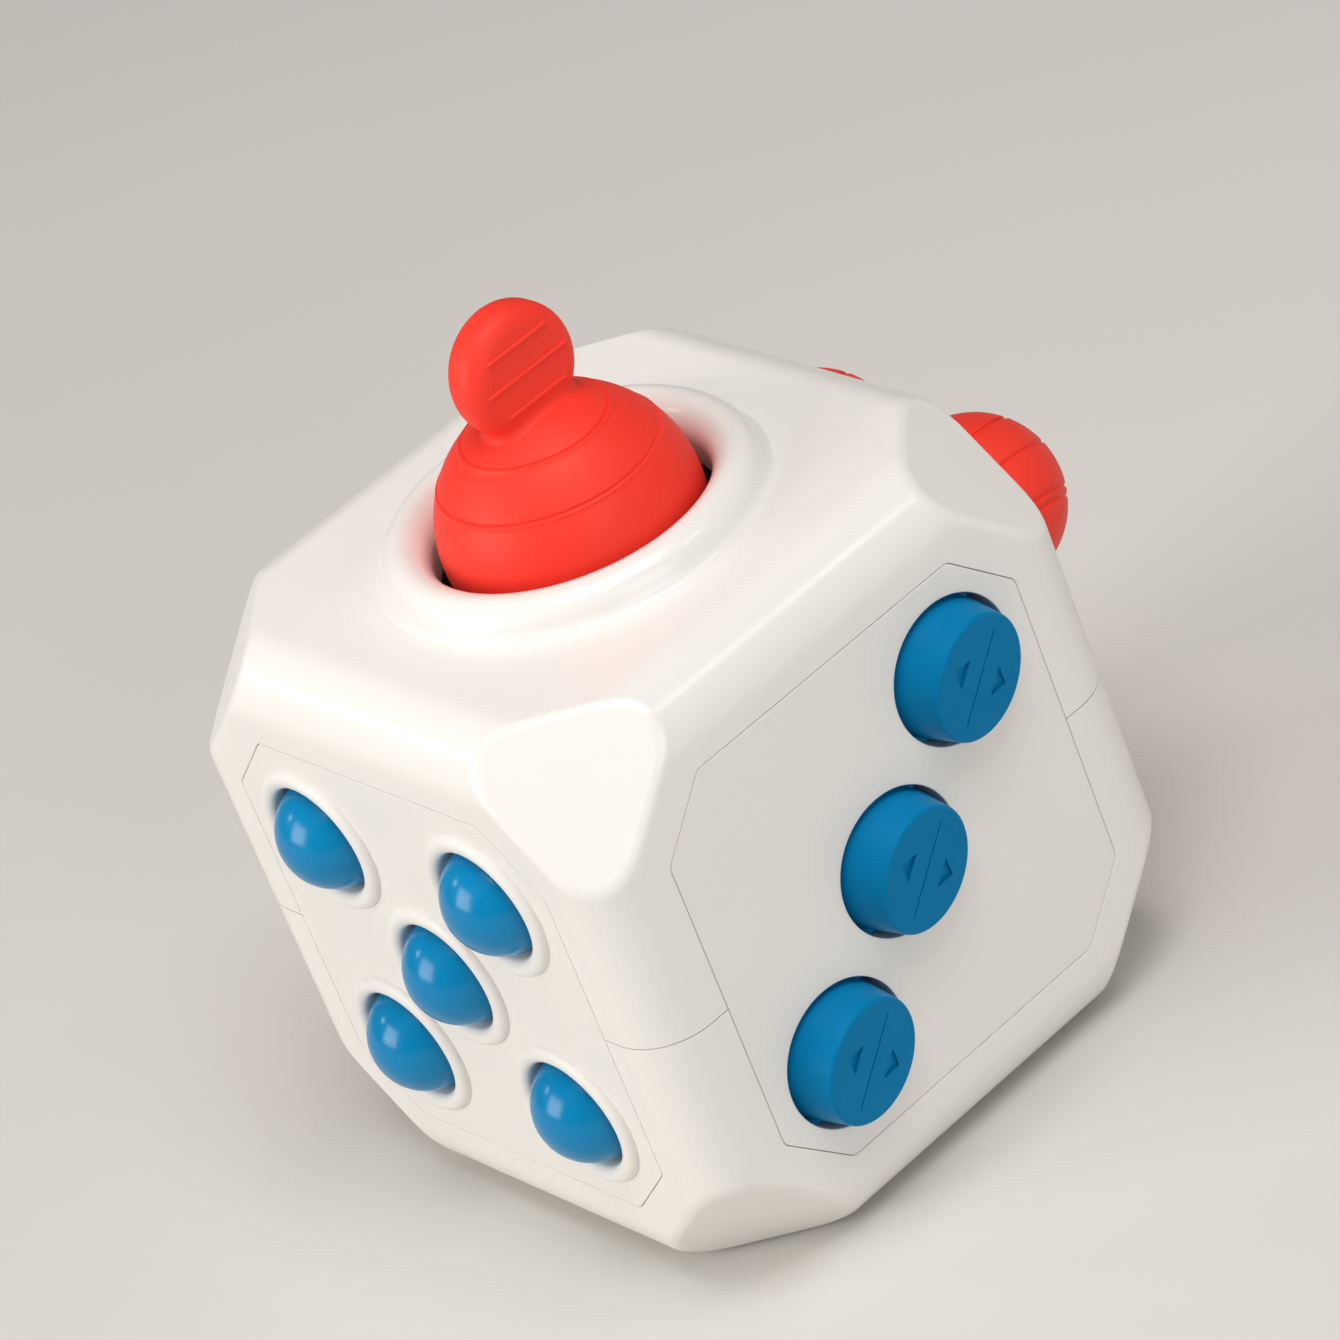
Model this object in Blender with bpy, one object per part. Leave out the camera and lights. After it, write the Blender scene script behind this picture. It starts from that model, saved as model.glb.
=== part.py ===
"""Fidget cube: a 60 mm case with a different set of controls on each side.

The case is two half shells. A face panel closes each side and the bottom, and
every side panel carries its own controls. The origin is the middle of the
bottom face, +Z is up, and lengths are in metres.
"""

import math

import bmesh
import bpy
from mathutils import Matrix, Vector

for old in list(bpy.data.objects):
    bpy.data.objects.remove(old, do_unlink=True)

# ---------------------------------------------------------------- dimensions
# Clearances. Neighbours that stay still keep GAP, a shaft in its bore keeps FIT.
GAP = 0.0003
FIT = 0.0002

# Case
SIDE = 0.0600
WALL = 0.0024
EDGE_ROUND = 0.0060
EDGE_STEPS = 4
CORNER_CUT = 0.0165
CORNER_BREAK = 0.0007
CORNER_STEPS = 2

# Face panels: an octagon flush with the case, on a wider flange behind the wall
PANEL_HALF = 0.0218
PANEL_CORNER = 0.0156
FLANGE_LAP = 0.0020
FLANGE_THICK = 0.0016
BASE_THICK = 0.0016

# Joystick: a hollow ball on a universal joint, with a round fin on top
BALL_R = 0.0124
BALL_WALL = 0.0029
BALL_RISE = 0.0004
BALL_SKIRT = 0.0060
THROAT_GAP = 0.0009
LIP_WIDTH = 0.0050
LIP_HEIGHT = 0.0031
FIN_R = 0.0062
FIN_THICK = 0.0049
FIN_ROUND = 0.0020
FIN_RISE = 0.0162
NECK_R = 0.0034
NECK_FLARE = 1.5
NECK_SINK = 0.0009
RIB_PITCH = 0.00285
RIB_LENGTHS = (0.0071, 0.0095, 0.0071)
RIB_HEIGHT = 0.00025
CROSS_HALF = 0.0022
CROSS_PIN_R = 0.0010
CROSS_PIN_SHORT = 0.0020
LUG_SIDE = 0.0009
FORK_THICK = 0.0015
FORK_WIDTH = 0.0038
FORK_RISE = 0.0014
SADDLE_DROP = 0.0013
SEAT_DEPTH = 0.0140
SEAT_THICK = 0.0020
SEAT_HALF = 0.0172
SEAT_TRIM = 0.0015
RETURN_WIRE = 0.0005

# Case screws, driven from under the base panel
SCREW_R = 0.0011
SCREW_HEAD_R = 0.0019
SCREW_HEAD = 0.0013
CASE_SCREW_AT = 0.0155
CASE_SCREW_BITE = 0.0050
BOSS_R = 0.0027

# Push buttons
BUTTON_R = 0.0055
BUTTON_RISE = 0.0038
BUTTON_TRAVEL = 0.0018
BUTTON_FLANGE = 0.0010
BUTTON_FLANGE_LAP = 0.0009
BUTTON_CAP_WALL = 0.0010
BUTTON_CAP_DROP = 0.0004
RIM_SHARE = 0.67032
RIM_HEIGHT = 0.00075
SPRING_R = 0.0034
SPRING_WIRE = 0.00035
SPRING_TURNS = 3
SPRING_ROOM = 0.0012

# Back plates of the button and rocker panels, screwed to posts on the panel
PLATE_THICK = 0.0015
PLATE_INSIDE = 0.0033
POST_WALL = 0.0010

# Rockers: three discs on one long axle, widest at the axle
ROCKER_R = 0.0060
ROCKER_WAIST = 0.0007
ROCKER_FOOT = 0.0001
ROCKER_FOOT_SOFT = 0.0006
ROCKER_TOP_SOFT = 0.0004
ROCKER_BORDER = 0.0018458
ROCKER_DEPTH = 0.0020
ROCKER_TOP = 0.0048
ROCKER_BOTTOM = 0.0026
ROCKER_TILT = math.radians(10)
AXLE_R = 0.0008
AXLE_REACH = 0.0002
KEEPER_CLEAR = 0.0006

# Ball knobs
KNOB_R = 0.00855
KNOB_PITCH = 0.0219
KNOB_HEIGHT = 0.01095
KNOB_RISE = 0.0037
KNOB_CLEAR = 0.0004
SPINDLE_R = 0.0022
RETAINER_R = 0.0045
RETAINER_THICK = 0.0012
SPINDLE_END = 0.0010

# Sliders
SLIDER_PITCH = 0.0190
SLIDER_TRAVEL = 0.0140
SLIDER_CAP = (0.0100, 0.0120, 0.0028)
SLIDER_NECK = (0.0042, 0.0046)
SLIDER_NECK_END = 0.0008
RIDGE_WIDTH = 0.0008
RIDGE_PITCH = 0.0022
SLIDER_FOOT = (0.0088, 0.0086, 0.0014)

# Dimples in the base panel
DIMPLE_R = 0.0042
DIMPLE_DEPTH = 0.0008
DIMPLE_PITCH = (0.0140, 0.0125)

# Facets of round pieces
COARSE = 12
ROUND = 20
SMOOTH = 28
FINE = 32
SPRING_STEPS = 8

# Sizes that follow from the ones above
HALF = SIDE / 2
TOP = SIDE
FLANGE_TOP = WALL + GAP
PANEL_BACK = FLANGE_TOP + FLANGE_THICK
BALL_CENTRE = TOP + BALL_RISE
THROAT_R = BALL_R + THROAT_GAP
SEAT_TOP = BALL_CENTRE - SEAT_DEPTH
CONTROL_SPREAD = PANEL_HALF * 120 / 218
BUTTON_PITCH = CONTROL_SPREAD
RIM_WIDTH = RIM_SHARE * (BUTTON_PITCH / math.sqrt(2) - BUTTON_R - GAP)
PLATE_HALF = PANEL_HALF - PLATE_INSIDE
PLATE_CORNER = CONTROL_SPREAD
ROCKER_WAIST_R = ROCKER_R + ROCKER_WAIST
ROCKER_FOOT_R = ROCKER_R + ROCKER_FOOT
ROCKER_HOLE_R = ROCKER_WAIST_R + GAP
PANEL_ACROSS = (PANEL_HALF + PANEL_CORNER) / math.sqrt(2)
ROCKER_PITCH = PANEL_ACROSS - ROCKER_HOLE_R - ROCKER_BORDER
AXLE_HALF = ROCKER_PITCH + ROCKER_HOLE_R + AXLE_REACH
ROCKER_SCREW_AT = CONTROL_SPREAD


# ------------------------------------------------------------------ materials
def plastic(name, colour, roughness=0.35, metallic=0.0):
    """A Principled material of one colour."""
    made = bpy.data.materials.new(name)
    made.use_nodes = True
    made.diffuse_color = (*colour, 1.0)
    shader = made.node_tree.nodes["Principled BSDF"]
    shader.inputs["Base Color"].default_value = (*colour, 1.0)
    shader.inputs["Roughness"].default_value = roughness
    shader.inputs["Metallic"].default_value = metallic
    return made


WHITE = plastic("white_case", (0.86, 0.83, 0.79), 0.32)
RED = plastic("red_control", (0.86, 0.045, 0.025), 0.35)
BLUE = plastic("blue_control", (0.004, 0.20, 0.42), 0.30)
GREY = plastic("grey_inner_plastic", (0.42, 0.42, 0.42), 0.5)
STEEL = plastic("plain_steel", (0.62, 0.62, 0.63), 0.25, 1.0)
SPRING_STEEL = plastic("spring_steel", (0.50, 0.50, 0.52), 0.3, 1.0)


# ------------------------------------------------------------- shape builders
def turned(profile, sides, closed=False):
    """Revolve (radius, height) points about Z. A closed profile makes a ring."""
    shape = bmesh.new()
    rows = []
    for radius, height in profile:
        if radius == 0:
            rows.append([shape.verts.new((0, 0, height))])
            continue
        angles = [2 * math.pi * i / sides for i in range(sides)]
        row = [(radius * math.cos(a), radius * math.sin(a), height) for a in angles]
        rows.append([shape.verts.new(co) for co in row])
    pairs = list(zip(rows, rows[1:]))
    if closed:
        pairs.append((rows[-1], rows[0]))
    for low, high in pairs:
        for i in range(sides):
            j = (i + 1) % sides
            if len(low) == 1 and len(high) == 1:
                break
            if len(low) == 1:
                shape.faces.new((low[0], high[i], high[j]))
            elif len(high) == 1:
                shape.faces.new((low[i], high[0], low[j]))
            else:
                shape.faces.new((low[i], high[i], high[j], low[j]))
    bmesh.ops.recalc_face_normals(shape, faces=shape.faces)
    return shape


def rod(radius, low, high, sides):
    """A plain round bar along Z."""
    return turned([(0, low), (radius, low), (radius, high), (0, high)], sides)


def arc(radius, centre, start, end, steps):
    """Points of an arc in (radius, height), by angle in degrees from the radius axis."""
    points = []
    for i in range(steps + 1):
        angle = math.radians(start + (end - start) * i / steps)
        x = centre[0] + radius * math.cos(angle)
        points.append((x if x > 1e-9 else 0, centre[1] + radius * math.sin(angle)))
    return points


def prism(outline, low, high):
    """An outline in XY, from one height to another."""
    shape = bmesh.new()
    bottom = [shape.verts.new((x, y, low)) for x, y in outline]
    top = [shape.verts.new((x, y, high)) for x, y in outline]
    shape.faces.new(reversed(bottom))
    shape.faces.new(top)
    for i in range(len(outline)):
        j = (i + 1) % len(outline)
        shape.faces.new((bottom[i], bottom[j], top[j], top[i]))
    bmesh.ops.recalc_face_normals(shape, faces=shape.faces)
    return shape


def octagon(half, corner):
    """An octagon whose long sides end at the corner distance from each axis."""
    points = []
    for x, y in ((half, corner), (corner, half)):
        points.append((x, y))
    points += [(-x, y) for x, y in reversed(points)]
    points += [(x, -y) for x, y in reversed(points)]
    return points


def rectangle(width, depth):
    """A plain outline about the middle."""
    x, y = width / 2, depth / 2
    return [(x, y), (-x, y), (-x, -y), (x, -y)]


def stadium(width, length, steps=6):
    """A slot outline along Y with round ends."""
    radius = width / 2
    reach = length / 2 - radius
    points = []
    for end in (0, 180):
        for i in range(steps + 1):
            angle = math.radians(end + 180 * i / steps)
            shift = reach if end == 0 else -reach
            points.append((radius * math.cos(angle), shift + radius * math.sin(angle)))
    return points


def moved(shape, offset=(0, 0, 0), turn=None):
    """Turn a shape by a matrix, then shift it."""
    if turn is not None:
        bmesh.ops.transform(shape, matrix=turn.to_4x4(), verts=shape.verts)
    bmesh.ops.translate(shape, vec=Vector(offset), verts=shape.verts)
    return shape


def together(shapes):
    """Several shapes that don't touch, as one."""
    joined = bmesh.new()
    for shape in shapes:
        spare = bpy.data.meshes.new("spare")
        shape.to_mesh(spare)
        shape.free()
        joined.from_mesh(spare)
        bpy.data.meshes.remove(spare)
    return joined


def coil(radius, wire, height, turns, per_turn, sides=4):
    """A round wire wound about Z, from height 0 up, with capped ends."""
    shape = bmesh.new()
    rings = []
    count = turns * per_turn
    for step in range(count + 1):
        angle = 2 * math.pi * step / per_turn
        out = Vector((math.cos(angle), math.sin(angle), 0))
        rise = wire + (height - 2 * wire) * step / count
        ring = []
        for side in range(sides):
            around = 2 * math.pi * (side + 0.5) / sides
            reach = radius + wire * math.cos(around)
            lift = Vector((0, 0, rise + wire * math.sin(around)))
            ring.append(shape.verts.new(out * reach + lift))
        rings.append(ring)
    for low, high in zip(rings, rings[1:]):
        for i in range(sides):
            j = (i + 1) % sides
            shape.faces.new((low[i], low[j], high[j], high[i]))
    shape.faces.new(rings[0])
    shape.faces.new(rings[-1])
    bmesh.ops.recalc_face_normals(shape, faces=shape.faces)
    return shape


# ---------------------------------------------------------------- assembling
def placed(name, shape, material, parent=None, at=(0, 0, 0)):
    """An object with its origin at a point of its parent's frame."""
    mesh = bpy.data.meshes.new(name)
    shape.to_mesh(mesh)
    shape.free()
    piece = bpy.data.objects.new(name, mesh)
    bpy.context.collection.objects.link(piece)
    piece.parent = parent
    piece.location = at
    if material:
        piece.data.materials.append(material)
    return piece


def bake(piece):
    """Replace a piece's mesh by its evaluated one, without its modifiers."""
    bpy.context.view_layer.update()
    graph = bpy.context.evaluated_depsgraph_get()
    mesh = bpy.data.meshes.new_from_object(piece.evaluated_get(graph))
    mesh.name = piece.name
    piece.modifiers.clear()
    piece.data = mesh


def combine(piece, shape, operation, parent=None, at=(0, 0, 0)):
    """Boolean a shape, placed in a parent's frame, into a piece."""
    tool = placed(piece.name + "_tool", shape, None, parent, at)
    tool.hide_render = True
    tool.display_type = "WIRE"
    step = piece.modifiers.new(operation.lower(), "BOOLEAN")
    step.operation = operation
    step.solver = "EXACT"
    step.object = tool
    bake(piece)
    bpy.data.objects.remove(tool, do_unlink=True)


def cut(piece, shape, parent=None, at=(0, 0, 0)):
    """Take a shape away from a piece."""
    combine(piece, shape, "DIFFERENCE", parent, at)


def add(piece, shape, parent=None, at=(0, 0, 0)):
    """Join a shape to a piece."""
    combine(piece, shape, "UNION", parent, at)


def face_frame(name, normal, across):
    """An empty in the middle of a case face, with its Z pointing out of the case."""
    normal, across = Vector(normal), Vector(across)
    up = normal.cross(across)
    turn = Matrix((across, up, normal)).transposed().to_4x4()
    frame = bpy.data.objects.new(name, None)
    frame.matrix_world = Matrix.Translation(Vector((0, 0, HALF)) + normal * HALF) @ turn
    bpy.context.collection.objects.link(frame)
    return frame


TOP_FACE = face_frame("top_face", (0, 0, 1), (1, 0, 0))
BASE_FACE = face_frame("base_face", (0, 0, -1), (1, 0, 0))
BUTTON_FACE = face_frame("button_face", (0, -1, 0), (1, 0, 0))
ROCKER_FACE = face_frame("rocker_face", (1, 0, 0), (0, 1, 0))
KNOB_FACE = face_frame("knob_face", (0, 1, 0), (-1, 0, 0))
SLIDER_FACE = face_frame("slider_face", (-1, 0, 0), (0, -1, 0))
SIDE_FACES = (BUTTON_FACE, ROCKER_FACE, KNOB_FACE, SLIDER_FACE)


# ----------------------------------------------------------------------- case
def case_block(name, inset):
    """The cube with rolled edges and flat corner cuts, drawn in by an inset."""
    reach = 3 * HALF - CORNER_CUT - inset * math.sqrt(3)
    shape = bmesh.new()
    bmesh.ops.create_cube(shape, size=2 * (HALF - inset))
    bmesh.ops.bevel(
        shape,
        geom=shape.edges[:],
        offset=EDGE_ROUND - inset,
        offset_type="OFFSET",
        segments=EDGE_STEPS,
        profile=0.5,
        affect="EDGES",
    )
    rims = []
    for x in (-1, 1):
        for y in (-1, 1):
            for z in (-1, 1):
                outward = Vector((x, y, z))
                geometry = shape.verts[:] + shape.edges[:] + shape.faces[:]
                done = bmesh.ops.bisect_plane(
                    shape,
                    geom=geometry,
                    plane_co=outward * reach / 3,
                    plane_no=outward,
                    clear_outer=True,
                )
                rim = [e for e in done["geom_cut"] if isinstance(e, bmesh.types.BMEdge)]
                bmesh.ops.edgeloop_fill(shape, edges=rim)
                rims += rim
    bmesh.ops.recalc_face_normals(shape, faces=shape.faces)
    bmesh.ops.bevel(
        shape,
        geom=rims,
        offset=CORNER_BREAK,
        offset_type="OFFSET",
        segments=CORNER_STEPS,
        profile=0.5,
        affect="EDGES",
    )
    return placed(name, shape, WHITE, None, (0, 0, HALF))


def half_shell(name, low, high):
    """The hollow case between two heights."""
    shell = case_block(name, 0)
    keep = prism(rectangle(2 * SIDE, 2 * SIDE), low, high)
    combine(shell, keep, "INTERSECT")
    core = case_block(name + "_core", WALL)
    hollow = bmesh.new()
    hollow.from_mesh(core.data)
    bpy.data.objects.remove(core, do_unlink=True)
    cut(shell, hollow, None, (0, 0, HALF))
    opening = octagon(PANEL_HALF + GAP, PANEL_CORNER + GAP)
    for face in SIDE_FACES:
        cut(shell, prism(opening, -2 * WALL, WALL), face)
    return shell


def at_corners(distance):
    """The four case screws, seen from above."""
    return [(x * distance, y * distance) for x in (-1, 1) for y in (-1, 1)]


def lip():
    """The rounded ring moulded round the joystick hole."""
    middle = THROAT_R + LIP_WIDTH / 2
    inner = LIP_WIDTH / 2
    profile = [(THROAT_R, -WALL / 2)]
    for i in range(7):
        angle = math.pi * (1 - i / 6)
        profile.append((middle + inner * math.cos(angle), LIP_HEIGHT * math.sin(angle)))
    profile.append((THROAT_R + LIP_WIDTH, -WALL / 2))
    return turned(profile, FINE, closed=True)


upper_shell = half_shell("upper_shell", HALF + GAP / 2, 2 * SIDE)
cut(upper_shell, rod(THROAT_R, -2 * WALL, WALL, FINE), TOP_FACE)
add(upper_shell, lip(), TOP_FACE)
boss_low = SEAT_TOP + GAP
boss_high = TOP - WALL / 2
upper_bosses = [
    moved(rod(BOSS_R, boss_low, boss_high, COARSE), (*p, 0))
    for p in at_corners(CASE_SCREW_AT)
]
add(upper_shell, together(upper_bosses))
screw_top = SEAT_TOP + CASE_SCREW_BITE
pilots = [
    moved(rod(SCREW_R + FIT, boss_low - WALL, screw_top + GAP, COARSE), (*p, 0))
    for p in at_corners(CASE_SCREW_AT)
]
cut(upper_shell, together(pilots))

lower_shell = half_shell("lower_shell", -SIDE, HALF - GAP / 2)
seat_low = SEAT_TOP - SEAT_THICK
floor_outline = octagon(PANEL_HALF + GAP, PANEL_CORNER + GAP)
floor_low = BASE_THICK + GAP
floor_high = floor_low + WALL
pad_outline = octagon(PANEL_HALF + FLANGE_LAP, PANEL_CORNER + FLANGE_LAP)
add(lower_shell, prism(pad_outline, WALL / 2, floor_high))
cut(lower_shell, prism(floor_outline, -WALL, floor_low))
lower_bosses = [
    moved(rod(BOSS_R, floor_high - WALL / 2, seat_low - GAP, COARSE), (*p, 0))
    for p in at_corners(CASE_SCREW_AT)
]
add(lower_shell, together(lower_bosses))
head_seat = floor_low + SCREW_HEAD
screw_ways = [
    moved(rod(SCREW_R + FIT, floor_low - WALL, seat_low + WALL, COARSE), (*p, 0))
    for p in at_corners(CASE_SCREW_AT)
]
cut(lower_shell, together(screw_ways))
head_ways = [
    moved(rod(SCREW_HEAD_R + GAP, -WALL, head_seat, COARSE), (*p, 0))
    for p in at_corners(CASE_SCREW_AT)
]
cut(lower_shell, together(head_ways))


def screw(name, parent, at, length):
    """A pan-head screw whose head bears at z = 0 and whose shank runs up +Z."""
    profile = [
        (0, -SCREW_HEAD),
        (SCREW_HEAD_R * 0.7, -SCREW_HEAD),
        (SCREW_HEAD_R, -SCREW_HEAD * 0.5),
        (SCREW_HEAD_R, 0),
        (SCREW_R, 0),
        (SCREW_R, length - SCREW_R),
        (SCREW_R * 0.4, length),
        (0, length),
    ]
    return placed(name, turned(profile, COARSE), STEEL, parent, at)


for number, (x, y) in enumerate(at_corners(CASE_SCREW_AT), 1):
    screw(f"case_screw_{number}", None, (x, y, head_seat - FIT), screw_top - head_seat)


# --------------------------------------------------------------------- panels
def side_panel(name, face):
    """A flush octagon on a wider flange that the two shells trap."""
    plug = prism(octagon(PANEL_HALF, PANEL_CORNER), -PANEL_BACK, 0)
    panel = placed(name, plug, WHITE, face)
    lap = octagon(PANEL_HALF + FLANGE_LAP, PANEL_CORNER + FLANGE_LAP)
    add(panel, prism(lap, -PANEL_BACK, -FLANGE_TOP), face)
    return panel


base_plug = prism(octagon(PANEL_HALF, PANEL_CORNER), -BASE_THICK, 0)
base_panel = placed("base_panel", base_plug, WHITE, BASE_FACE)
dish_r = (DIMPLE_R**2 + DIMPLE_DEPTH**2) / (2 * DIMPLE_DEPTH)
dish_low = math.degrees(math.asin((DIMPLE_R * 1.2) / dish_r))
dish = arc(dish_r, (0, dish_r - DIMPLE_DEPTH), -90, dish_low - 90, 3)
dish.append((0, dish[-1][1]))
dimples = []
for column in (-0.5, 0.5):
    for row in (-1, 0, 1):
        spot = (column * DIMPLE_PITCH[0], row * DIMPLE_PITCH[1], 0)
        dimples.append(moved(turned(dish, COARSE), spot))
cut(base_panel, together(dimples), BASE_FACE)


# ------------------------------------------------------------------- joystick
joystick_seat = placed(
    "joystick_seat",
    prism(octagon(SEAT_HALF, SEAT_HALF - SEAT_TRIM), seat_low, SEAT_TOP),
    GREY,
)
seat_holes = [
    moved(rod(SCREW_R + GAP, seat_low - WALL, SEAT_TOP + WALL, COARSE), (*p, 0))
    for p in at_corners(CASE_SCREW_AT)
]
cut(joystick_seat, together(seat_holes))
fork_x = CROSS_HALF + GAP + FORK_THICK
fork_top = CROSS_PIN_R + FORK_RISE
saddle = -CROSS_HALF - SADDLE_DROP
post = prism(rectangle(2 * fork_x, FORK_WIDTH), -SEAT_DEPTH - SEAT_THICK / 2, fork_top)
add(joystick_seat, post, None, (0, 0, BALL_CENTRE))
slot = prism(rectangle(2 * (CROSS_HALF + GAP), 2 * FORK_WIDTH), saddle, 2 * fork_top)
cut(joystick_seat, slot, None, (0, 0, BALL_CENTRE))
TO_X = Matrix.Rotation(math.pi / 2, 3, "Y")
TO_Y = Matrix.Rotation(math.pi / 2, 3, "X")
fork_bore = moved(rod(CROSS_PIN_R + FIT, -2 * fork_x, 2 * fork_x, COARSE), turn=TO_X)
cut(joystick_seat, fork_bore, None, (0, 0, BALL_CENTRE))

lug_inner = CROSS_HALF + GAP
lug_half = CROSS_PIN_R + LUG_SIDE
inner_r = BALL_R - BALL_WALL
cross = prism(rectangle(2 * CROSS_HALF, 2 * CROSS_HALF), -CROSS_HALF, CROSS_HALF)
joystick_cross = placed("joystick_cross", cross, STEEL, None, (0, 0, BALL_CENTRE))
x_pin = moved(rod(CROSS_PIN_R, -fork_x + FIT, fork_x - FIT, COARSE), turn=TO_X)
add(joystick_cross, x_pin, None, (0, 0, BALL_CENTRE))
pin_reach = inner_r - CROSS_PIN_SHORT
y_pin = moved(rod(CROSS_PIN_R, -pin_reach, pin_reach, COARSE), turn=TO_Y)
add(joystick_cross, y_pin, None, (0, 0, BALL_CENTRE))

skirt = -math.degrees(math.asin(BALL_SKIRT / BALL_R))
inner_skirt = -math.degrees(math.asin(BALL_SKIRT / inner_r))
cup = arc(BALL_R, (0, 0), skirt, 90, 9) + arc(inner_r, (0, 0), 90, inner_skirt, 5)
ball = turned(cup, FINE, closed=True)
joystick_knob = placed("joystick_knob", ball, RED, None, (0, 0, BALL_CENTRE))
lug_length = inner_r + BALL_WALL / 2 - lug_inner
lugs = []
for side in (-1, 1):
    block = prism(rectangle(2 * lug_half, lug_length), -lug_half, lug_half)
    lugs.append(moved(block, (0, side * (lug_inner + lug_length / 2), 0)))
add(joystick_knob, together(lugs), None, (0, 0, BALL_CENTRE))
pin_bore = moved(rod(CROSS_PIN_R + FIT, -pin_reach - GAP, pin_reach + GAP, COARSE), turn=TO_Y)
cut(joystick_knob, pin_bore, None, (0, 0, BALL_CENTRE))
neck_top = FIN_RISE - FIN_R / 2
neck_low = BALL_R - BALL_WALL / 2
neck = [(0, neck_low), (NECK_R * NECK_FLARE, neck_low), (NECK_R * NECK_FLARE, BALL_R - NECK_SINK)]
neck += [(NECK_R / NECK_FLARE, neck_top), (0, neck_top)]
add(joystick_knob, turned(neck, COARSE), None, (0, 0, BALL_CENTRE))
rim_high = (FIN_R - FIN_ROUND, FIN_THICK / 2 - FIN_ROUND)
rim_low = (FIN_R - FIN_ROUND, FIN_ROUND - FIN_THICK / 2)
fin = [(0, -FIN_THICK / 2)] + arc(FIN_ROUND, rim_low, -90, 0, 3)
fin += arc(FIN_ROUND, rim_high, 0, 90, 3) + [(0, FIN_THICK / 2)]
fin_centre = (0, 0, BALL_CENTRE + FIN_RISE)
add(joystick_knob, moved(turned(fin, SMOOTH), turn=TO_X), None, fin_centre)
ribs = []
for row, length in zip((-1, 0, 1), RIB_LENGTHS):
    rib = prism(rectangle(FIN_THICK + 2 * RIB_HEIGHT, length), -RIB_HEIGHT, RIB_HEIGHT)
    ribs.append(moved(rib, (0, 0, row * RIB_PITCH)))
add(joystick_knob, together(ribs), None, fin_centre)

skirt_outer = BALL_R * math.cos(math.radians(skirt))
skirt_inner = inner_r * math.cos(math.radians(inner_skirt))
spring_room = SEAT_DEPTH - BALL_SKIRT - 2 * GAP
spring_r = (skirt_outer + skirt_inner) / 2
spring = coil(spring_r, RETURN_WIRE, spring_room, SPRING_TURNS, COARSE)
placed("joystick_spring", spring, SPRING_STEEL, None, (0, 0, SEAT_TOP + GAP))


# --------------------------------------------------------------- push buttons
def quincunx(pitch):
    """Four corners and the middle, numbered from the upper left."""
    return [(-pitch, pitch), (pitch, pitch), (0, 0), (-pitch, -pitch), (pitch, -pitch)]


BUTTON_SPOTS = quincunx(BUTTON_PITCH)
button_hole_r = BUTTON_R + GAP
flange_r = button_hole_r + BUTTON_FLANGE_LAP
flange_high = -PANEL_BACK - GAP
flange_low = flange_high - BUTTON_FLANGE
plate_high = flange_low - BUTTON_TRAVEL - SPRING_ROOM
plate_low = plate_high - PLATE_THICK

button_panel = side_panel("button_panel", BUTTON_FACE)
rim_middle = button_hole_r + RIM_WIDTH / 2
rim_profile = [(button_hole_r, -PANEL_BACK)]
for i in range(5):
    angle = math.pi * (1 - i / 4)
    reach = rim_middle + RIM_WIDTH / 2 * math.cos(angle)
    rim_profile.append((reach, RIM_HEIGHT * math.sin(angle)))
rim_profile.append((button_hole_r + RIM_WIDTH, -PANEL_BACK))
holes = [
    moved(rod(rim_middle, -2 * PANEL_BACK, PANEL_BACK, ROUND), (*p, 0))
    for p in BUTTON_SPOTS
]
cut(button_panel, together(holes), BUTTON_FACE)
rims = [moved(turned(rim_profile, ROUND, closed=True), (*p, 0)) for p in BUTTON_SPOTS]
add(button_panel, together(rims), BUTTON_FACE)

PLATE_SCREWS = [(0, BUTTON_PITCH), (0, -BUTTON_PITCH)]


def plate_posts(panel, face, spots, reach):
    """Tapped posts on the back of a panel, which carry its back plate."""
    root = -PANEL_BACK / 2
    posts = [
        moved(rod(SCREW_R + POST_WALL, GAP - reach, root, COARSE), (*p, 0))
        for p in spots
    ]
    add(panel, together(posts), face)
    pilots = [
        moved(rod(SCREW_R + FIT, -2 * reach, root - GAP, COARSE), (*p, 0))
        for p in spots
    ]
    cut(panel, together(pilots), face)


def back_plate(name, face, spots, low):
    """The grey plate behind a panel, with a hole for each screw."""
    outline = octagon(PLATE_HALF, PLATE_CORNER)
    plate = placed(name, prism(outline, low, low + PLATE_THICK), GREY, face)
    holes = [moved(rod(SCREW_R + GAP, 2 * low, 0, COARSE), (*p, 0)) for p in spots]
    cut(plate, together(holes), face)
    return plate


def plate_screws(name, face, spots, low):
    """One screw through the back plate at each post."""
    for number, (x, y) in enumerate(spots, 1):
        length = -PANEL_BACK / 2 - 2 * GAP - low
        screw(f"{name}_{number}", face, (x, y, low - FIT), length)


plate_posts(button_panel, BUTTON_FACE, PLATE_SCREWS, -plate_high)
back_plate("button_plate", BUTTON_FACE, PLATE_SCREWS, plate_low)
plate_screws("button_screw", BUTTON_FACE, PLATE_SCREWS, plate_low)

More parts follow.
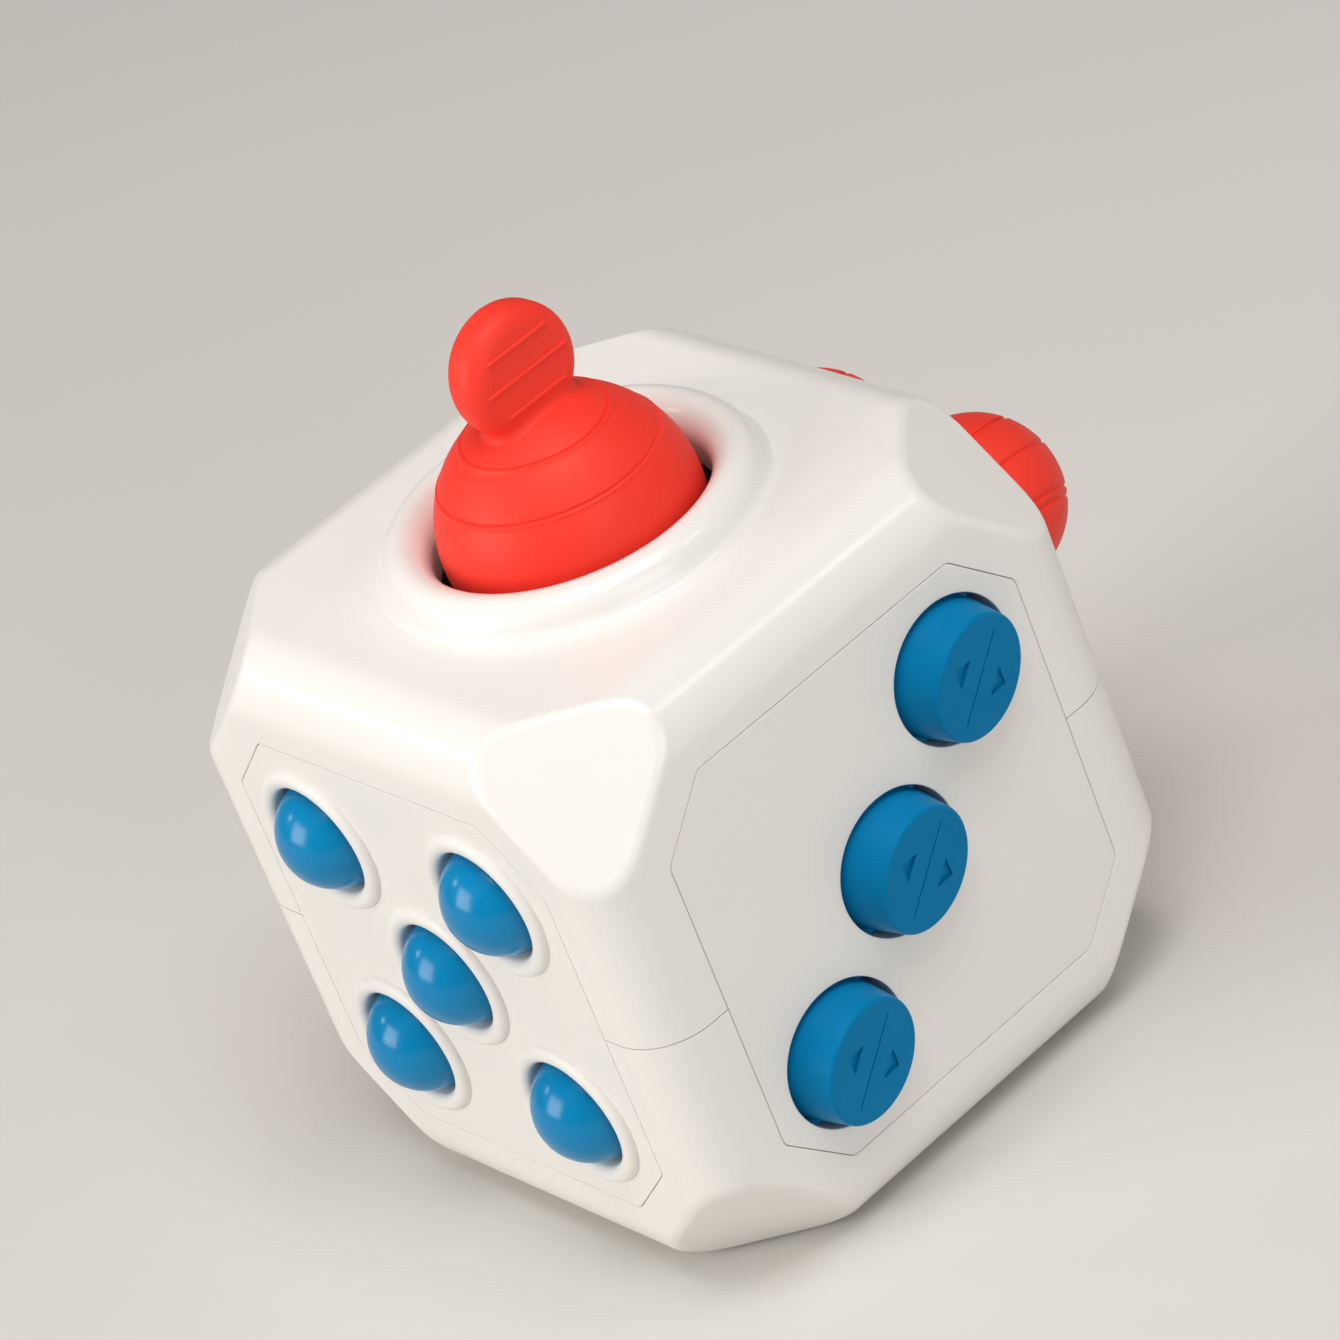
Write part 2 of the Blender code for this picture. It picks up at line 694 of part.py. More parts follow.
dome_centre = BUTTON_RISE - BUTTON_R
cup_r = BUTTON_R - BUTTON_CAP_WALL
cup_top = dome_centre - BUTTON_CAP_DROP
dome_profile = [(cup_r, flange_low), (flange_r, flange_low), (flange_r, flange_high)]
dome_profile += [(BUTTON_R, flange_high)] + arc(BUTTON_R, (0, dome_centre), 0, 90, 4)
dome_profile += [(0, cup_top), (cup_r, cup_top)]
spring_length = cup_top - plate_high - 2 * GAP
for number, (x, y) in enumerate(BUTTON_SPOTS, 1):
    dome = turned(dome_profile, ROUND, closed=True)
    placed(f"button_{number}", dome, BLUE, BUTTON_FACE, (x, y, 0))
    spring = coil(SPRING_R, SPRING_WIRE, spring_length, SPRING_TURNS, SPRING_STEPS)
    spring_foot = (x, y, plate_high + GAP)
    placed(f"button_spring_{number}", spring, SPRING_STEEL, BUTTON_FACE, spring_foot)


# -------------------------------------------------------------------- rockers
ALONG = Vector((1, 1, 0)).normalized()
TO_ALONG = Matrix.Rotation(math.pi / 4, 3, "Z")
ROCKER_SPOTS = [ALONG * ROCKER_PITCH * step for step in (1, 0, -1)]
rocker_panel = side_panel("rocker_panel", ROCKER_FACE)
holes = [
    moved(rod(ROCKER_HOLE_R, -2 * PANEL_BACK, PANEL_BACK, SMOOTH), p)
    for p in ROCKER_SPOTS
]
cut(rocker_panel, together(holes), ROCKER_FACE)
channel_half = AXLE_R + GAP
channel_outline = rectangle(2 * (AXLE_HALF + GAP), 2 * channel_half)
channel = prism(channel_outline, -2 * PANEL_BACK, channel_half - ROCKER_DEPTH)
cut(rocker_panel, moved(channel, turn=TO_ALONG), ROCKER_FACE)

axle = moved(rod(AXLE_R, -AXLE_HALF, AXLE_HALF, COARSE), turn=TO_ALONG @ TO_X)
placed("rocker_axle", axle, BLUE, ROCKER_FACE, (0, 0, -ROCKER_DEPTH))

TO_TILT = Matrix.Rotation(ROCKER_TILT, 3, ALONG)
disc = [
    (0, -ROCKER_BOTTOM),
    (ROCKER_FOOT_R - ROCKER_FOOT_SOFT, -ROCKER_BOTTOM),
    (ROCKER_FOOT_R, ROCKER_FOOT_SOFT - ROCKER_BOTTOM),
    (ROCKER_WAIST_R, 0),
    (ROCKER_R, ROCKER_TOP - ROCKER_TOP_SOFT),
    (ROCKER_R - ROCKER_TOP_SOFT, ROCKER_TOP),
    (0, ROCKER_TOP),
]
for number, spot in enumerate(ROCKER_SPOTS, 1):
    tipped = moved(turned(disc, SMOOTH), turn=TO_TILT)
    rocker = placed(f"rocker_{number}", tipped, BLUE, ROCKER_FACE)
    rocker.location = (spot.x, spot.y, -ROCKER_DEPTH)
    bore = moved(rod(AXLE_R + FIT, -2 * ROCKER_R, 2 * ROCKER_R, COARSE), turn=TO_ALONG @ TO_X)
    cut(rocker, bore, ROCKER_FACE, rocker.location)

disc_drop = ROCKER_BOTTOM * math.cos(ROCKER_TILT) + ROCKER_R * math.sin(ROCKER_TILT)
keeper_high = -ROCKER_DEPTH - disc_drop - KEEPER_CLEAR
keeper_low = keeper_high - PLATE_THICK
ROCKER_SCREWS = [(-ROCKER_SCREW_AT, ROCKER_SCREW_AT), (ROCKER_SCREW_AT, -ROCKER_SCREW_AT)]
plate_posts(rocker_panel, ROCKER_FACE, ROCKER_SCREWS, -keeper_high)
rocker_plate = back_plate("rocker_plate", ROCKER_FACE, ROCKER_SCREWS, keeper_low)
plate_screws("rocker_screw", ROCKER_FACE, ROCKER_SCREWS, keeper_low)
pads = []
web = ROCKER_PITCH - 2 * ROCKER_HOLE_R - 2 * GAP
for step in (-0.5, 0.5):
    pad = prism(rectangle(web, 2 * AXLE_R), keeper_low, -ROCKER_DEPTH - AXLE_R - FIT)
    pads.append(moved(moved(pad, turn=TO_ALONG), ALONG * ROCKER_PITCH * step))
add(rocker_plate, together(pads), ROCKER_FACE)


# ----------------------------------------------------------------- ball knobs
KNOB_SPOTS = [(-KNOB_PITCH / 2, KNOB_HEIGHT), (KNOB_PITCH / 2, KNOB_HEIGHT)]
knob_panel = side_panel("knob_panel", KNOB_FACE)
holes = [
    moved(rod(SPINDLE_R + GAP, -2 * PANEL_BACK, PANEL_BACK, ROUND), (*p, 0))
    for p in KNOB_SPOTS
]
cut(knob_panel, together(holes), KNOB_FACE)
flat = math.degrees(math.asin((KNOB_CLEAR - KNOB_RISE) / KNOB_R))
retainer_high = -PANEL_BACK - GAP
ring_low = retainer_high - RETAINER_THICK
spindle_end = ring_low - SPINDLE_END
knob_profile = [(0, spindle_end), (SPINDLE_R, spindle_end), (SPINDLE_R, KNOB_CLEAR)]
knob_profile += arc(KNOB_R, (0, KNOB_RISE), flat, 90, 7)
washer_bore = SPINDLE_R + FIT
washer = [(washer_bore, ring_low), (RETAINER_R, ring_low)]
washer += [(RETAINER_R, retainer_high), (washer_bore, retainer_high)]
for number, (x, y) in enumerate(KNOB_SPOTS, 1):
    knob = turned(knob_profile, ROUND)
    placed(f"ball_knob_{number}", knob, RED, KNOB_FACE, (x, y, 0))
    ring = turned(washer, ROUND, closed=True)
    placed(f"knob_retainer_{number}", ring, STEEL, KNOB_FACE, (x, y, 0))


# -------------------------------------------------------------------- sliders
slider_panel = side_panel("slider_panel", SLIDER_FACE)
cap_width, cap_length, cap_rise = SLIDER_CAP
neck_width, neck_length = SLIDER_NECK
foot_width, foot_length, foot_thick = SLIDER_FOOT
slot_length = neck_length + SLIDER_TRAVEL
slots = []
for side in (-1, 1):
    slot = stadium(neck_width + 2 * GAP, slot_length + 2 * GAP)
    slot = prism(slot, -2 * PANEL_BACK, PANEL_BACK)
    slots.append(moved(slot, (side * SLIDER_PITCH / 2, 0, 0)))
cut(slider_panel, together(slots), SLIDER_FACE)
foot_high = -PANEL_BACK - GAP
foot_low = foot_high - foot_thick
for number, side in enumerate((-1, 1), 1):
    at = (side * SLIDER_PITCH / 2, -side * SLIDER_TRAVEL / 2, 0)
    cap = prism(stadium(cap_width, cap_length), GAP, GAP + cap_rise)
    slider = placed(f"slider_{number}", cap, RED, SLIDER_FACE, at)
    neck = prism(stadium(neck_width, neck_length), foot_low - SLIDER_NECK_END, GAP + cap_rise / 2)
    add(slider, neck, SLIDER_FACE, at)
    ridges = []
    for row in (-1, 0, 1):
        ridge = prism(rectangle(cap_width * 0.6, RIDGE_WIDTH), cap_rise / 2, cap_rise + 2 * GAP)
        ridges.append(moved(ridge, (0, row * RIDGE_PITCH, 0)))
    add(slider, together(ridges), SLIDER_FACE, at)
    foot = prism(rectangle(foot_width, foot_length), foot_low, foot_high)
    slider_foot = placed(f"slider_foot_{number}", foot, STEEL, SLIDER_FACE, at)
    bore = stadium(neck_width + 2 * FIT, neck_length + 2 * FIT)
    cut(slider_foot, prism(bore, 2 * foot_low, 0), SLIDER_FACE, at)

for piece in bpy.data.objects:
    if piece.type == "MESH":
        piece.data.shade_smooth()
        piece.data.set_sharp_from_angle(angle=math.radians(35))
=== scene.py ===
import math
import bmesh
import bpy
from mathutils import Matrix, Vector


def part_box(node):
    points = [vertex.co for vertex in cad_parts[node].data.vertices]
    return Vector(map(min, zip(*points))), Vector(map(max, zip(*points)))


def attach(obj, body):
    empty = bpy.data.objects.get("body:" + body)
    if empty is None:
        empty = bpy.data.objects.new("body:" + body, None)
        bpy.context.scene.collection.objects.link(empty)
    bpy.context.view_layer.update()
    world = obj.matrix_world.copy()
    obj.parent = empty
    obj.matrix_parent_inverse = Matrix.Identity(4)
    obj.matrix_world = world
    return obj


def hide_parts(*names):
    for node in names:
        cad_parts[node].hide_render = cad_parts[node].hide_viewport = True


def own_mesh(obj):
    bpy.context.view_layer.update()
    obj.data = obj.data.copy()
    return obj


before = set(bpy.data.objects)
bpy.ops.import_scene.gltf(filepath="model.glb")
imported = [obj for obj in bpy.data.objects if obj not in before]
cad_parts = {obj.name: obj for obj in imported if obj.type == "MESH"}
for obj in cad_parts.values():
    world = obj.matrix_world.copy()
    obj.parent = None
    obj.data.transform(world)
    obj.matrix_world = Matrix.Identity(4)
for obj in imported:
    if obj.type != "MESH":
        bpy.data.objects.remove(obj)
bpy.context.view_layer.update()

# ------------------------------------------------------------- push button panel
# The front panel of the cube, injection moulded in warm white ABS. It sits flush
# in the case, and a soft raised rim is moulded round each of its five holes.
CASE_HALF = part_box("lower_shell")[1].x
CASE_WALL = 0.0024
GAP = 0.0003
FIT = 0.0002
PROUD = 0.00001
SEAM = 0.00006
SEAM_EDGE = 0.00010
PANEL_HALF = 0.0219
PANEL_CORNER = 0.0157
PANEL_ROUND = 0.0012
PANEL_BACK = 0.0043
FLANGE_TOP = 0.0027
FLANGE_LAP = 0.0020
BUTTON_HOLE_R = 0.00582
RIM_OUTER_R = 0.0076
RIM_HEIGHT = 0.00074
RIM_FOOT = 0.0004
RIM_SIDES = 96
EDGE_TURNS = (0, 0.5, 1.05, math.pi / 2)


def soft_outline(centres, radius, steps=5):
    """A convex outline drawn round its corner centres, with soft corners."""
    points = []
    befores = centres[-1:] + centres[:-1]
    afters = centres[1:] + centres[:1]
    for (px, py), (x, y), (nx, ny) in zip(befores, centres, afters):
        start = math.atan2(px - x, y - py)
        end = math.atan2(x - nx, ny - y)
        while end <= start:
            end += 2 * math.pi
        for step in range(steps + 1):
            angle = start + (end - start) * step / steps
            points.append((x + radius * math.cos(angle), y + radius * math.sin(angle)))
    return points


def panel_outline(grow=0.0):
    """The panel's octagon, drawn larger or smaller all round."""
    flat = PANEL_HALF - PANEL_ROUND
    side = PANEL_CORNER - PANEL_ROUND * (math.sqrt(2) - 1)
    quarter = [(flat, side), (side, flat)]
    centres = quarter + [(-x, y) for x, y in quarter[::-1]]
    centres += [(-x, -y) for x, y in quarter] + [(x, -y) for x, y in quarter[::-1]]
    return soft_outline(centres, PANEL_ROUND + grow)


def stacked(layers):
    """A closed solid through outlines of equal count, each at its height."""
    shape = bmesh.new()
    rows = [[shape.verts.new((x, y, height)) for x, y in outline] for outline, height in layers]
    for low, high in zip(rows, rows[1:]):
        for i in range(len(low)):
            j = (i + 1) % len(low)
            shape.faces.new((low[i], low[j], high[j], high[i]))
    shape.faces.new(rows[0][::-1])
    shape.faces.new(rows[-1])
    bmesh.ops.recalc_face_normals(shape, faces=shape.faces)
    return shape


def turned(profile, sides, ring=False):
    """Revolve (radius, height) points about Z. A ring's profile closes on itself."""
    shape = bmesh.new()
    spokes = [2 * math.pi * i / sides for i in range(sides)]
    rows = []
    for radius, height in profile:
        on_axis = radius < 1e-9
        around = spokes[:1] if on_axis else spokes
        rows.append([shape.verts.new((radius * math.cos(a), radius * math.sin(a), height)) for a in around])
    for low, high in zip(rows, rows[1:] + (rows[:1] if ring else [])):
        if len(low) == 1 and len(high) == 1:
            continue
        for i in range(sides):
            j = (i + 1) % sides
            corners = (low[i % len(low)], low[j % len(low)], high[j % len(high)], high[i % len(high)])
            shape.faces.new(tuple(dict.fromkeys(corners)))
    bmesh.ops.recalc_face_normals(shape, faces=shape.faces)
    return shape


def arc(radius, centre, start, end, steps):
    """(radius, height) points of an arc, by degrees from the radius axis."""
    angles = [math.radians(start + (end - start) * i / steps) for i in range(steps + 1)]
    return [(max(centre[0] + radius * math.cos(a), 0), centre[1] + radius * math.sin(a)) for a in angles]


def side_of_case(normal, across):
    """The matrix of one side of the case: X across it, Y up it and Z out of it."""
    normal, across = Vector(normal), Vector(across)
    turn = Matrix((across, normal.cross(across), normal)).transposed().to_4x4()
    return Matrix.Translation(Vector((0, 0, CASE_HALF)) + normal * CASE_HALF) @ turn


def placed(shape, *matrices):
    """A shape put through matrices, the last one first."""
    for matrix in matrices[::-1]:
        bmesh.ops.transform(shape, matrix=matrix.to_4x4(), verts=shape.verts)
    return shape


def shifted(x=0, y=0, z=0):
    return Matrix.Translation((x, y, z))


def made_object(name, shape):
    mesh = bpy.data.meshes.new(name)
    shape.to_mesh(mesh)
    shape.free()
    thing = bpy.data.objects.new(name, mesh)
    bpy.context.scene.collection.objects.link(thing)
    return thing


def baked(thing):
    """Swap an object's mesh for its finished one, without modifiers."""
    bpy.context.view_layer.update()
    graph = bpy.context.evaluated_depsgraph_get()
    mesh = bpy.data.meshes.new_from_object(thing.evaluated_get(graph))
    thing.modifiers.clear()
    thing.data = mesh
    return thing


def worked(thing, shapes, operation):
    """Cut or join shapes, one after another, into an object."""
    for shape in shapes:
        tool = made_object("tool", shape)
        step = thing.modifiers.new("work", "BOOLEAN")
        step.operation = operation
        step.solver = "EXACT"
        step.object = tool
        baked(thing)
        bpy.data.objects.remove(tool, do_unlink=True)
    return thing


def cut(thing, *shapes):
    return worked(thing, shapes, "DIFFERENCE")


def join(thing, *shapes):
    return worked(thing, shapes, "UNION")


def finished(thing, material, body, slot, *nodes, crease=38):
    """Shade a piece, give it its material, and set it in the frame in place of CAD nodes."""
    thing.data.materials.clear()
    thing.data.materials.append(material)
    for face in thing.data.polygons:
        face.material_index = 0
    thing.data.shade_smooth()
    thing.data.set_sharp_from_angle(angle=math.radians(crease))
    even = thing.modifiers.new("even_normals", "WEIGHTED_NORMAL")
    even.keep_sharp = True
    even.weight = 80
    baked(thing)
    thing.data.name = thing.name
    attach(thing, body)
    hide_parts(*nodes)
    return thing


def effect_group(name, inputs, outputs):
    """An empty shader effect with named inputs and outputs."""
    group = bpy.data.node_groups.new(name, "ShaderNodeTree")
    for label, kind, value in inputs:
        socket = group.interface.new_socket(label, in_out="INPUT", socket_type="NodeSocket" + kind)
        socket.default_value = value
    for label, kind in outputs:
        group.interface.new_socket(label, in_out="OUTPUT", socket_type="NodeSocket" + kind)
    return group, group.nodes.new("NodeGroupInput"), group.nodes.new("NodeGroupOutput")


SURFACE = [("Colour", "Color"), ("Roughness", "Float"), ("Normal", "Vector")]


def moulded_skin():
    """Moulded plastic: faint flow clouding, uneven gloss and a very fine mould grain."""
    inputs = [
        ("Colour", "Color", (0.8, 0.8, 0.8, 1)),
        ("Cloud Colour", "Color", (0.8, 0.8, 0.8, 1)),
        ("Gloss Low", "Float", 0.3),
        ("Gloss High", "Float", 0.4),
        ("Cloud Size", "Float", 60.0),
        ("Grain Size", "Float", 2600.0),
        ("Grain Depth", "Float", 0.08),
    ]
    group, start, end = effect_group("moulded_skin", inputs, SURFACE)
    nodes, links = group.nodes, group.links
    place = nodes.new("ShaderNodeTexCoord")
    cloud = nodes.new("ShaderNodeTexNoise")
    cloud.inputs["Detail"].default_value = 4
    links.new(place.outputs["Object"], cloud.inputs["Vector"])
    links.new(start.outputs["Cloud Size"], cloud.inputs["Scale"])
    blend = nodes.new("ShaderNodeMix")
    blend.data_type = "RGBA"
    links.new(cloud.outputs["Fac"], blend.inputs["Factor"])
    links.new(start.outputs["Colour"], blend.inputs["A"])
    links.new(start.outputs["Cloud Colour"], blend.inputs["B"])
    links.new(blend.outputs["Result"], end.inputs["Colour"])
    handling = nodes.new("ShaderNodeTexNoise")
    handling.inputs["Detail"].default_value = 6
    handling.inputs["Distortion"].default_value = 0.6
    wide = nodes.new("ShaderNodeMath")
    wide.operation = "MULTIPLY"
    wide.inputs[1].default_value = 2.7
    links.new(start.outputs["Cloud Size"], wide.inputs[0])
    links.new(wide.outputs["Value"], handling.inputs["Scale"])
    links.new(place.outputs["Object"], handling.inputs["Vector"])
    gloss = nodes.new("ShaderNodeMapRange")
    gloss.inputs["From Min"].default_value = 0.3
    gloss.inputs["From Max"].default_value = 0.7
    links.new(handling.outputs["Fac"], gloss.inputs["Value"])
    links.new(start.outputs["Gloss Low"], gloss.inputs["To Min"])
    links.new(start.outputs["Gloss High"], gloss.inputs["To Max"])
    links.new(gloss.outputs["Result"], end.inputs["Roughness"])
    grain = nodes.new("ShaderNodeTexNoise")
    grain.inputs["Detail"].default_value = 2
    links.new(place.outputs["Object"], grain.inputs["Vector"])
    links.new(start.outputs["Grain Size"], grain.inputs["Scale"])
    bump = nodes.new("ShaderNodeBump")
    bump.inputs["Distance"].default_value = 0.00003
    links.new(start.outputs["Grain Depth"], bump.inputs["Strength"])
    links.new(grain.outputs["Fac"], bump.inputs["Height"])
    links.new(bump.outputs["Normal"], end.inputs["Normal"])
    return group


MOULDED_SKIN = moulded_skin()


def linear(red, green, blue):
    """A display colour, 0 to 255, as the linear one that a shader takes."""
    return tuple(((c / 255 + 0.055) / 1.055) ** 2.4 for c in (red, green, blue)) + (1,)


def with_effect(name, effect, settings, **sockets):
    """A Principled material fed by an effect group. Plain values go on its own sockets."""
    material = bpy.data.materials.new(name)
    material.use_nodes = True
    tree = material.node_tree
    shader = tree.nodes["Principled BSDF"]
    skin = tree.nodes.new("ShaderNodeGroup")
    skin.node_tree = effect
    for label, value in settings.items():
        skin.inputs[label].default_value = value
    tree.links.new(skin.outputs["Colour"], shader.inputs["Base Color"])
    tree.links.new(skin.outputs["Roughness"], shader.inputs["Roughness"])
    tree.links.new(skin.outputs["Normal"], shader.inputs["Normal"])
    for label, value in sockets.items():
        shader.inputs[label.replace("_", " ")].default_value = value
    return material


white_panel = with_effect(
    "white_panel_plastic",
    MOULDED_SKIN,
    {
        "Colour": linear(238, 235, 230),
        "Cloud Colour": linear(235, 231, 225),
        "Gloss Low": 0.36,
        "Gloss High": 0.44,
        "Cloud Size": 70.0,
        "Grain Size": 2400.0,
        "Grain Depth": 0.10,
    },
    Specular_IOR_Level=0.45,
    Subsurface_Weight=0.0,
)


def soft_front():
    """Outlines that turn a panel's front edge over in a fine quarter round."""
    drawn_in = [(SEAM_EDGE * (1 - math.cos(a)), SEAM_EDGE * (math.sin(a) - 1)) for a in EDGE_TURNS]
    return [(panel_outline(-inward), height) for inward, height in drawn_in]


def side_panel(name, matrix):
    """The octagon with a softened front edge, on the wider flange that the case traps."""
    panel = made_object(name, placed(stacked([(panel_outline(), -PANEL_BACK)] + soft_front()), matrix))
    lap = stacked([(panel_outline(FLANGE_LAP), height) for height in (-PANEL_BACK, -FLANGE_TOP)])
    return join(panel, placed(lap, matrix))


def spots_of(nodes, matrix):
    """Where CAD nodes sit on a side of the case, from their boxes."""
    inverse = matrix.inverted()
    middles = [inverse @ ((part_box(n)[0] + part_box(n)[1]) / 2) for n in nodes]
    return [(m.x, m.y) for m in middles]


FRONT = side_of_case((0, -1, 0), (1, 0, 0))
BUTTONS = [f"button_{n}" for n in range(1, 6)]
button_spots = spots_of(BUTTONS, FRONT)
button_panel = side_panel("button_panel_white", FRONT)
hole_middle = (BUTTON_HOLE_R + RIM_OUTER_R) / 2
hole = [(0, -2 * PANEL_BACK), (hole_middle, -2 * PANEL_BACK), (hole_middle, PANEL_BACK), (0, PANEL_BACK)]
cut(button_panel, *[placed(turned(hole, RIM_SIDES), FRONT, shifted(x, y)) for x, y in button_spots])
crest_r = (RIM_OUTER_R - BUTTON_HOLE_R) / 2
rim = [(BUTTON_HOLE_R, -PANEL_BACK)]
for step in range(15):
    angle = math.pi * step / 14
    rim.append((hole_middle - crest_r * math.cos(angle), RIM_HEIGHT * math.sin(angle)))
rim += [(RIM_OUTER_R, -RIM_FOOT), (hole_middle + GAP, -PANEL_BACK)]
for x, y in button_spots:
    join(button_panel, placed(turned(rim, RIM_SIDES, ring=True), FRONT, shifted(x, y)))
post_spots = spots_of(["button_screw_1", "button_screw_2"], FRONT)
POST_R = 0.0021
POST_BORE_R = 0.0013


def with_posts(panel, matrix, spots, reach):
    """Tapped posts on the back of a panel, which its back plate is screwed to."""
    post = [(0, -reach), (POST_R, -reach), (POST_R, -PANEL_BACK / 2), (0, -PANEL_BACK / 2)]
    bore = [(0, -2 * reach), (POST_BORE_R, -2 * reach), (POST_BORE_R, -PANEL_BACK / 2 - GAP)]
    bore.append((0, -PANEL_BACK / 2))
    join(panel, *[placed(turned(post, 32), matrix, shifted(x, y)) for x, y in spots])
    cut(panel, *[placed(turned(bore, 32), matrix, shifted(x, y)) for x, y in spots])


plate_front = CASE_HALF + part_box("button_plate")[0].y
with_posts(button_panel, FRONT, post_spots, plate_front - GAP)
finished(button_panel, white_panel, "case", "white_panel", "button_panel")

# ------------------------------------------------------------------ push buttons
# Five blue ABS caps with a domed top, moulded hollow. A flange at the foot of each
# holds it behind the panel, and its own compression spring pushes it out.
DOME_R = 0.0055
DOME_RISE = 0.0038
BUTTON_FLANGE_R = 0.0067
FLANGE_FRONT = -0.0046
FLANGE_BACK = -0.0056
CUP_R = 0.0045
CUP_SOFT = 0.0006
CROWN_WALL = 0.0004

blue_button = with_effect(
    "blue_button_plastic",
    MOULDED_SKIN,
    {
        "Colour": linear(3, 131, 184),
        "Cloud Colour": linear(2, 124, 177),
        "Gloss Low": 0.17,
        "Gloss High": 0.22,
        "Cloud Size": 120.0,
        "Grain Size": 3200.0,
        "Grain Depth": 0.07,
    },
    Specular_IOR_Level=0.25,
)
dome_z = DOME_RISE - DOME_R
cap = [(CUP_R, FLANGE_BACK), (BUTTON_FLANGE_R, FLANGE_BACK)]
cap += [(BUTTON_FLANGE_R, FLANGE_FRONT), (DOME_R, FLANGE_FRONT)]
cap += arc(DOME_R, (0, dome_z), 0, 90, 26)
cup_top = dome_z - CROWN_WALL
cap += [(0, cup_top), (CUP_R - CUP_SOFT, cup_top), (CUP_R, cup_top - CUP_SOFT)]
for name, (x, y) in zip(BUTTONS, button_spots):
    button = made_object(name + "_cap", placed(turned(cap, 96, ring=True), FRONT, shifted(x, y)))
    finished(button, blue_button, name, "blue_button", name)

# --------------------------------------------------------- button springs and plate
# Each spring is a cylindrical coil of hard-drawn steel wire. A grey plate screwed
# to two posts of the panel carries the five springs from behind.
def drawn_metal():
    """Drawn or rolled metal: fine streaks along one axis, with uneven brightness."""
    inputs = [
        ("Colour", "Color", (0.6, 0.6, 0.6, 1)),
        ("Dark Colour", "Color", (0.4, 0.4, 0.4, 1)),
        ("Gloss Low", "Float", 0.2),
        ("Gloss High", "Float", 0.35),
        ("Streaks", "Vector", (200.0, 3000.0, 200.0)),
    ]
    group, start, end = effect_group("drawn_metal", inputs, SURFACE)
    nodes, links = group.nodes, group.links
    place = nodes.new("ShaderNodeTexCoord")
    stretch = nodes.new("ShaderNodeVectorMath")
    stretch.operation = "MULTIPLY"
    links.new(place.outputs["Object"], stretch.inputs[0])
    links.new(start.outputs["Streaks"], stretch.inputs[1])
    streak = nodes.new("ShaderNodeTexNoise")
    streak.inputs["Scale"].default_value = 1.0
    streak.inputs["Detail"].default_value = 5
    links.new(stretch.outputs["Vector"], streak.inputs["Vector"])
    blend = nodes.new("ShaderNodeMix")
    blend.data_type = "RGBA"
    links.new(streak.outputs["Fac"], blend.inputs["Factor"])
    links.new(start.outputs["Dark Colour"], blend.inputs["A"])
    links.new(start.outputs["Colour"], blend.inputs["B"])
    links.new(blend.outputs["Result"], end.inputs["Colour"])
    gloss = nodes.new("ShaderNodeMapRange")
    links.new(streak.outputs["Fac"], gloss.inputs["Value"])
    links.new(start.outputs["Gloss High"], gloss.inputs["To Min"])
    links.new(start.outputs["Gloss Low"], gloss.inputs["To Max"])
    links.new(gloss.outputs["Result"], end.inputs["Roughness"])
    bump = nodes.new("ShaderNodeBump")
    bump.inputs["Strength"].default_value = 0.15
    bump.inputs["Distance"].default_value = 0.00002
    links.new(streak.outputs["Fac"], bump.inputs["Height"])
    links.new(bump.outputs["Normal"], end.inputs["Normal"])
    return group


DRAWN_METAL = drawn_metal()
spring_wire = with_effect(
    "hard_drawn_spring_wire",
    DRAWN_METAL,
    {
        "Colour": (0.58, 0.58, 0.60, 1),
        "Dark Colour": (0.36, 0.36, 0.38, 1),
        "Gloss Low": 0.22,
        "Gloss High": 0.38,
        "Streaks": (900.0, 900.0, 4200.0),
    },
    Metallic=1.0,
)
BUTTON_WIRE_R = 0.00033
BUTTON_COIL_R = 0.0034


def coil(radius, wire, height, turns, closed_turns=0.75, per_turn=40, sides=10):
    """A compression spring about Z from height 0 up, with its end turns closed down."""
    shape = bmesh.new()
    count = int(turns * per_turn)
    rings = []
    closed = closed_turns * per_turn
    for step in range(count + 1):
        share = min(max((step - closed) / (count - 2 * closed), 0), 1)
        pitch_low = 2 * wire * min(step / per_turn, closed_turns)
        pitch_high = 2 * wire * min((count - step) / per_turn, closed_turns)
        low = wire + pitch_low
        high = height - wire - pitch_high
        rise = low if step <= closed else high if step >= count - closed else low + (high - low) * share
        angle = 2 * math.pi * step / per_turn
        out = Vector((math.cos(angle), math.sin(angle), 0))
        ring = []
        for side in range(sides):
            around = 2 * math.pi * side / sides
            lift = Vector((0, 0, rise + wire * math.sin(around)))
            ring.append(shape.verts.new(out * (radius + wire * math.cos(around)) + lift))
        rings.append(ring)
    for low, high in zip(rings, rings[1:]):
        for i in range(sides):
            j = (i + 1) % sides
            shape.faces.new((low[i], low[j], high[j], high[i]))
    shape.faces.new(rings[0])
    shape.faces.new(rings[-1])
    bmesh.ops.recalc_face_normals(shape, faces=shape.faces)
    return shape


for number, (x, y) in enumerate(button_spots, 1):
    node = f"button_spring_{number}"
    low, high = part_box(node)
    back = -CASE_HALF - high.y
    wound = coil(BUTTON_COIL_R, BUTTON_WIRE_R, high.y - low.y, 4.5, per_turn=32, sides=8)
    spring = made_object(node + "_coil", placed(wound, FRONT, shifted(x, y, back)))
    finished(spring, spring_wire, "case", "spring_steel", node, crease=60)
    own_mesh(spring)

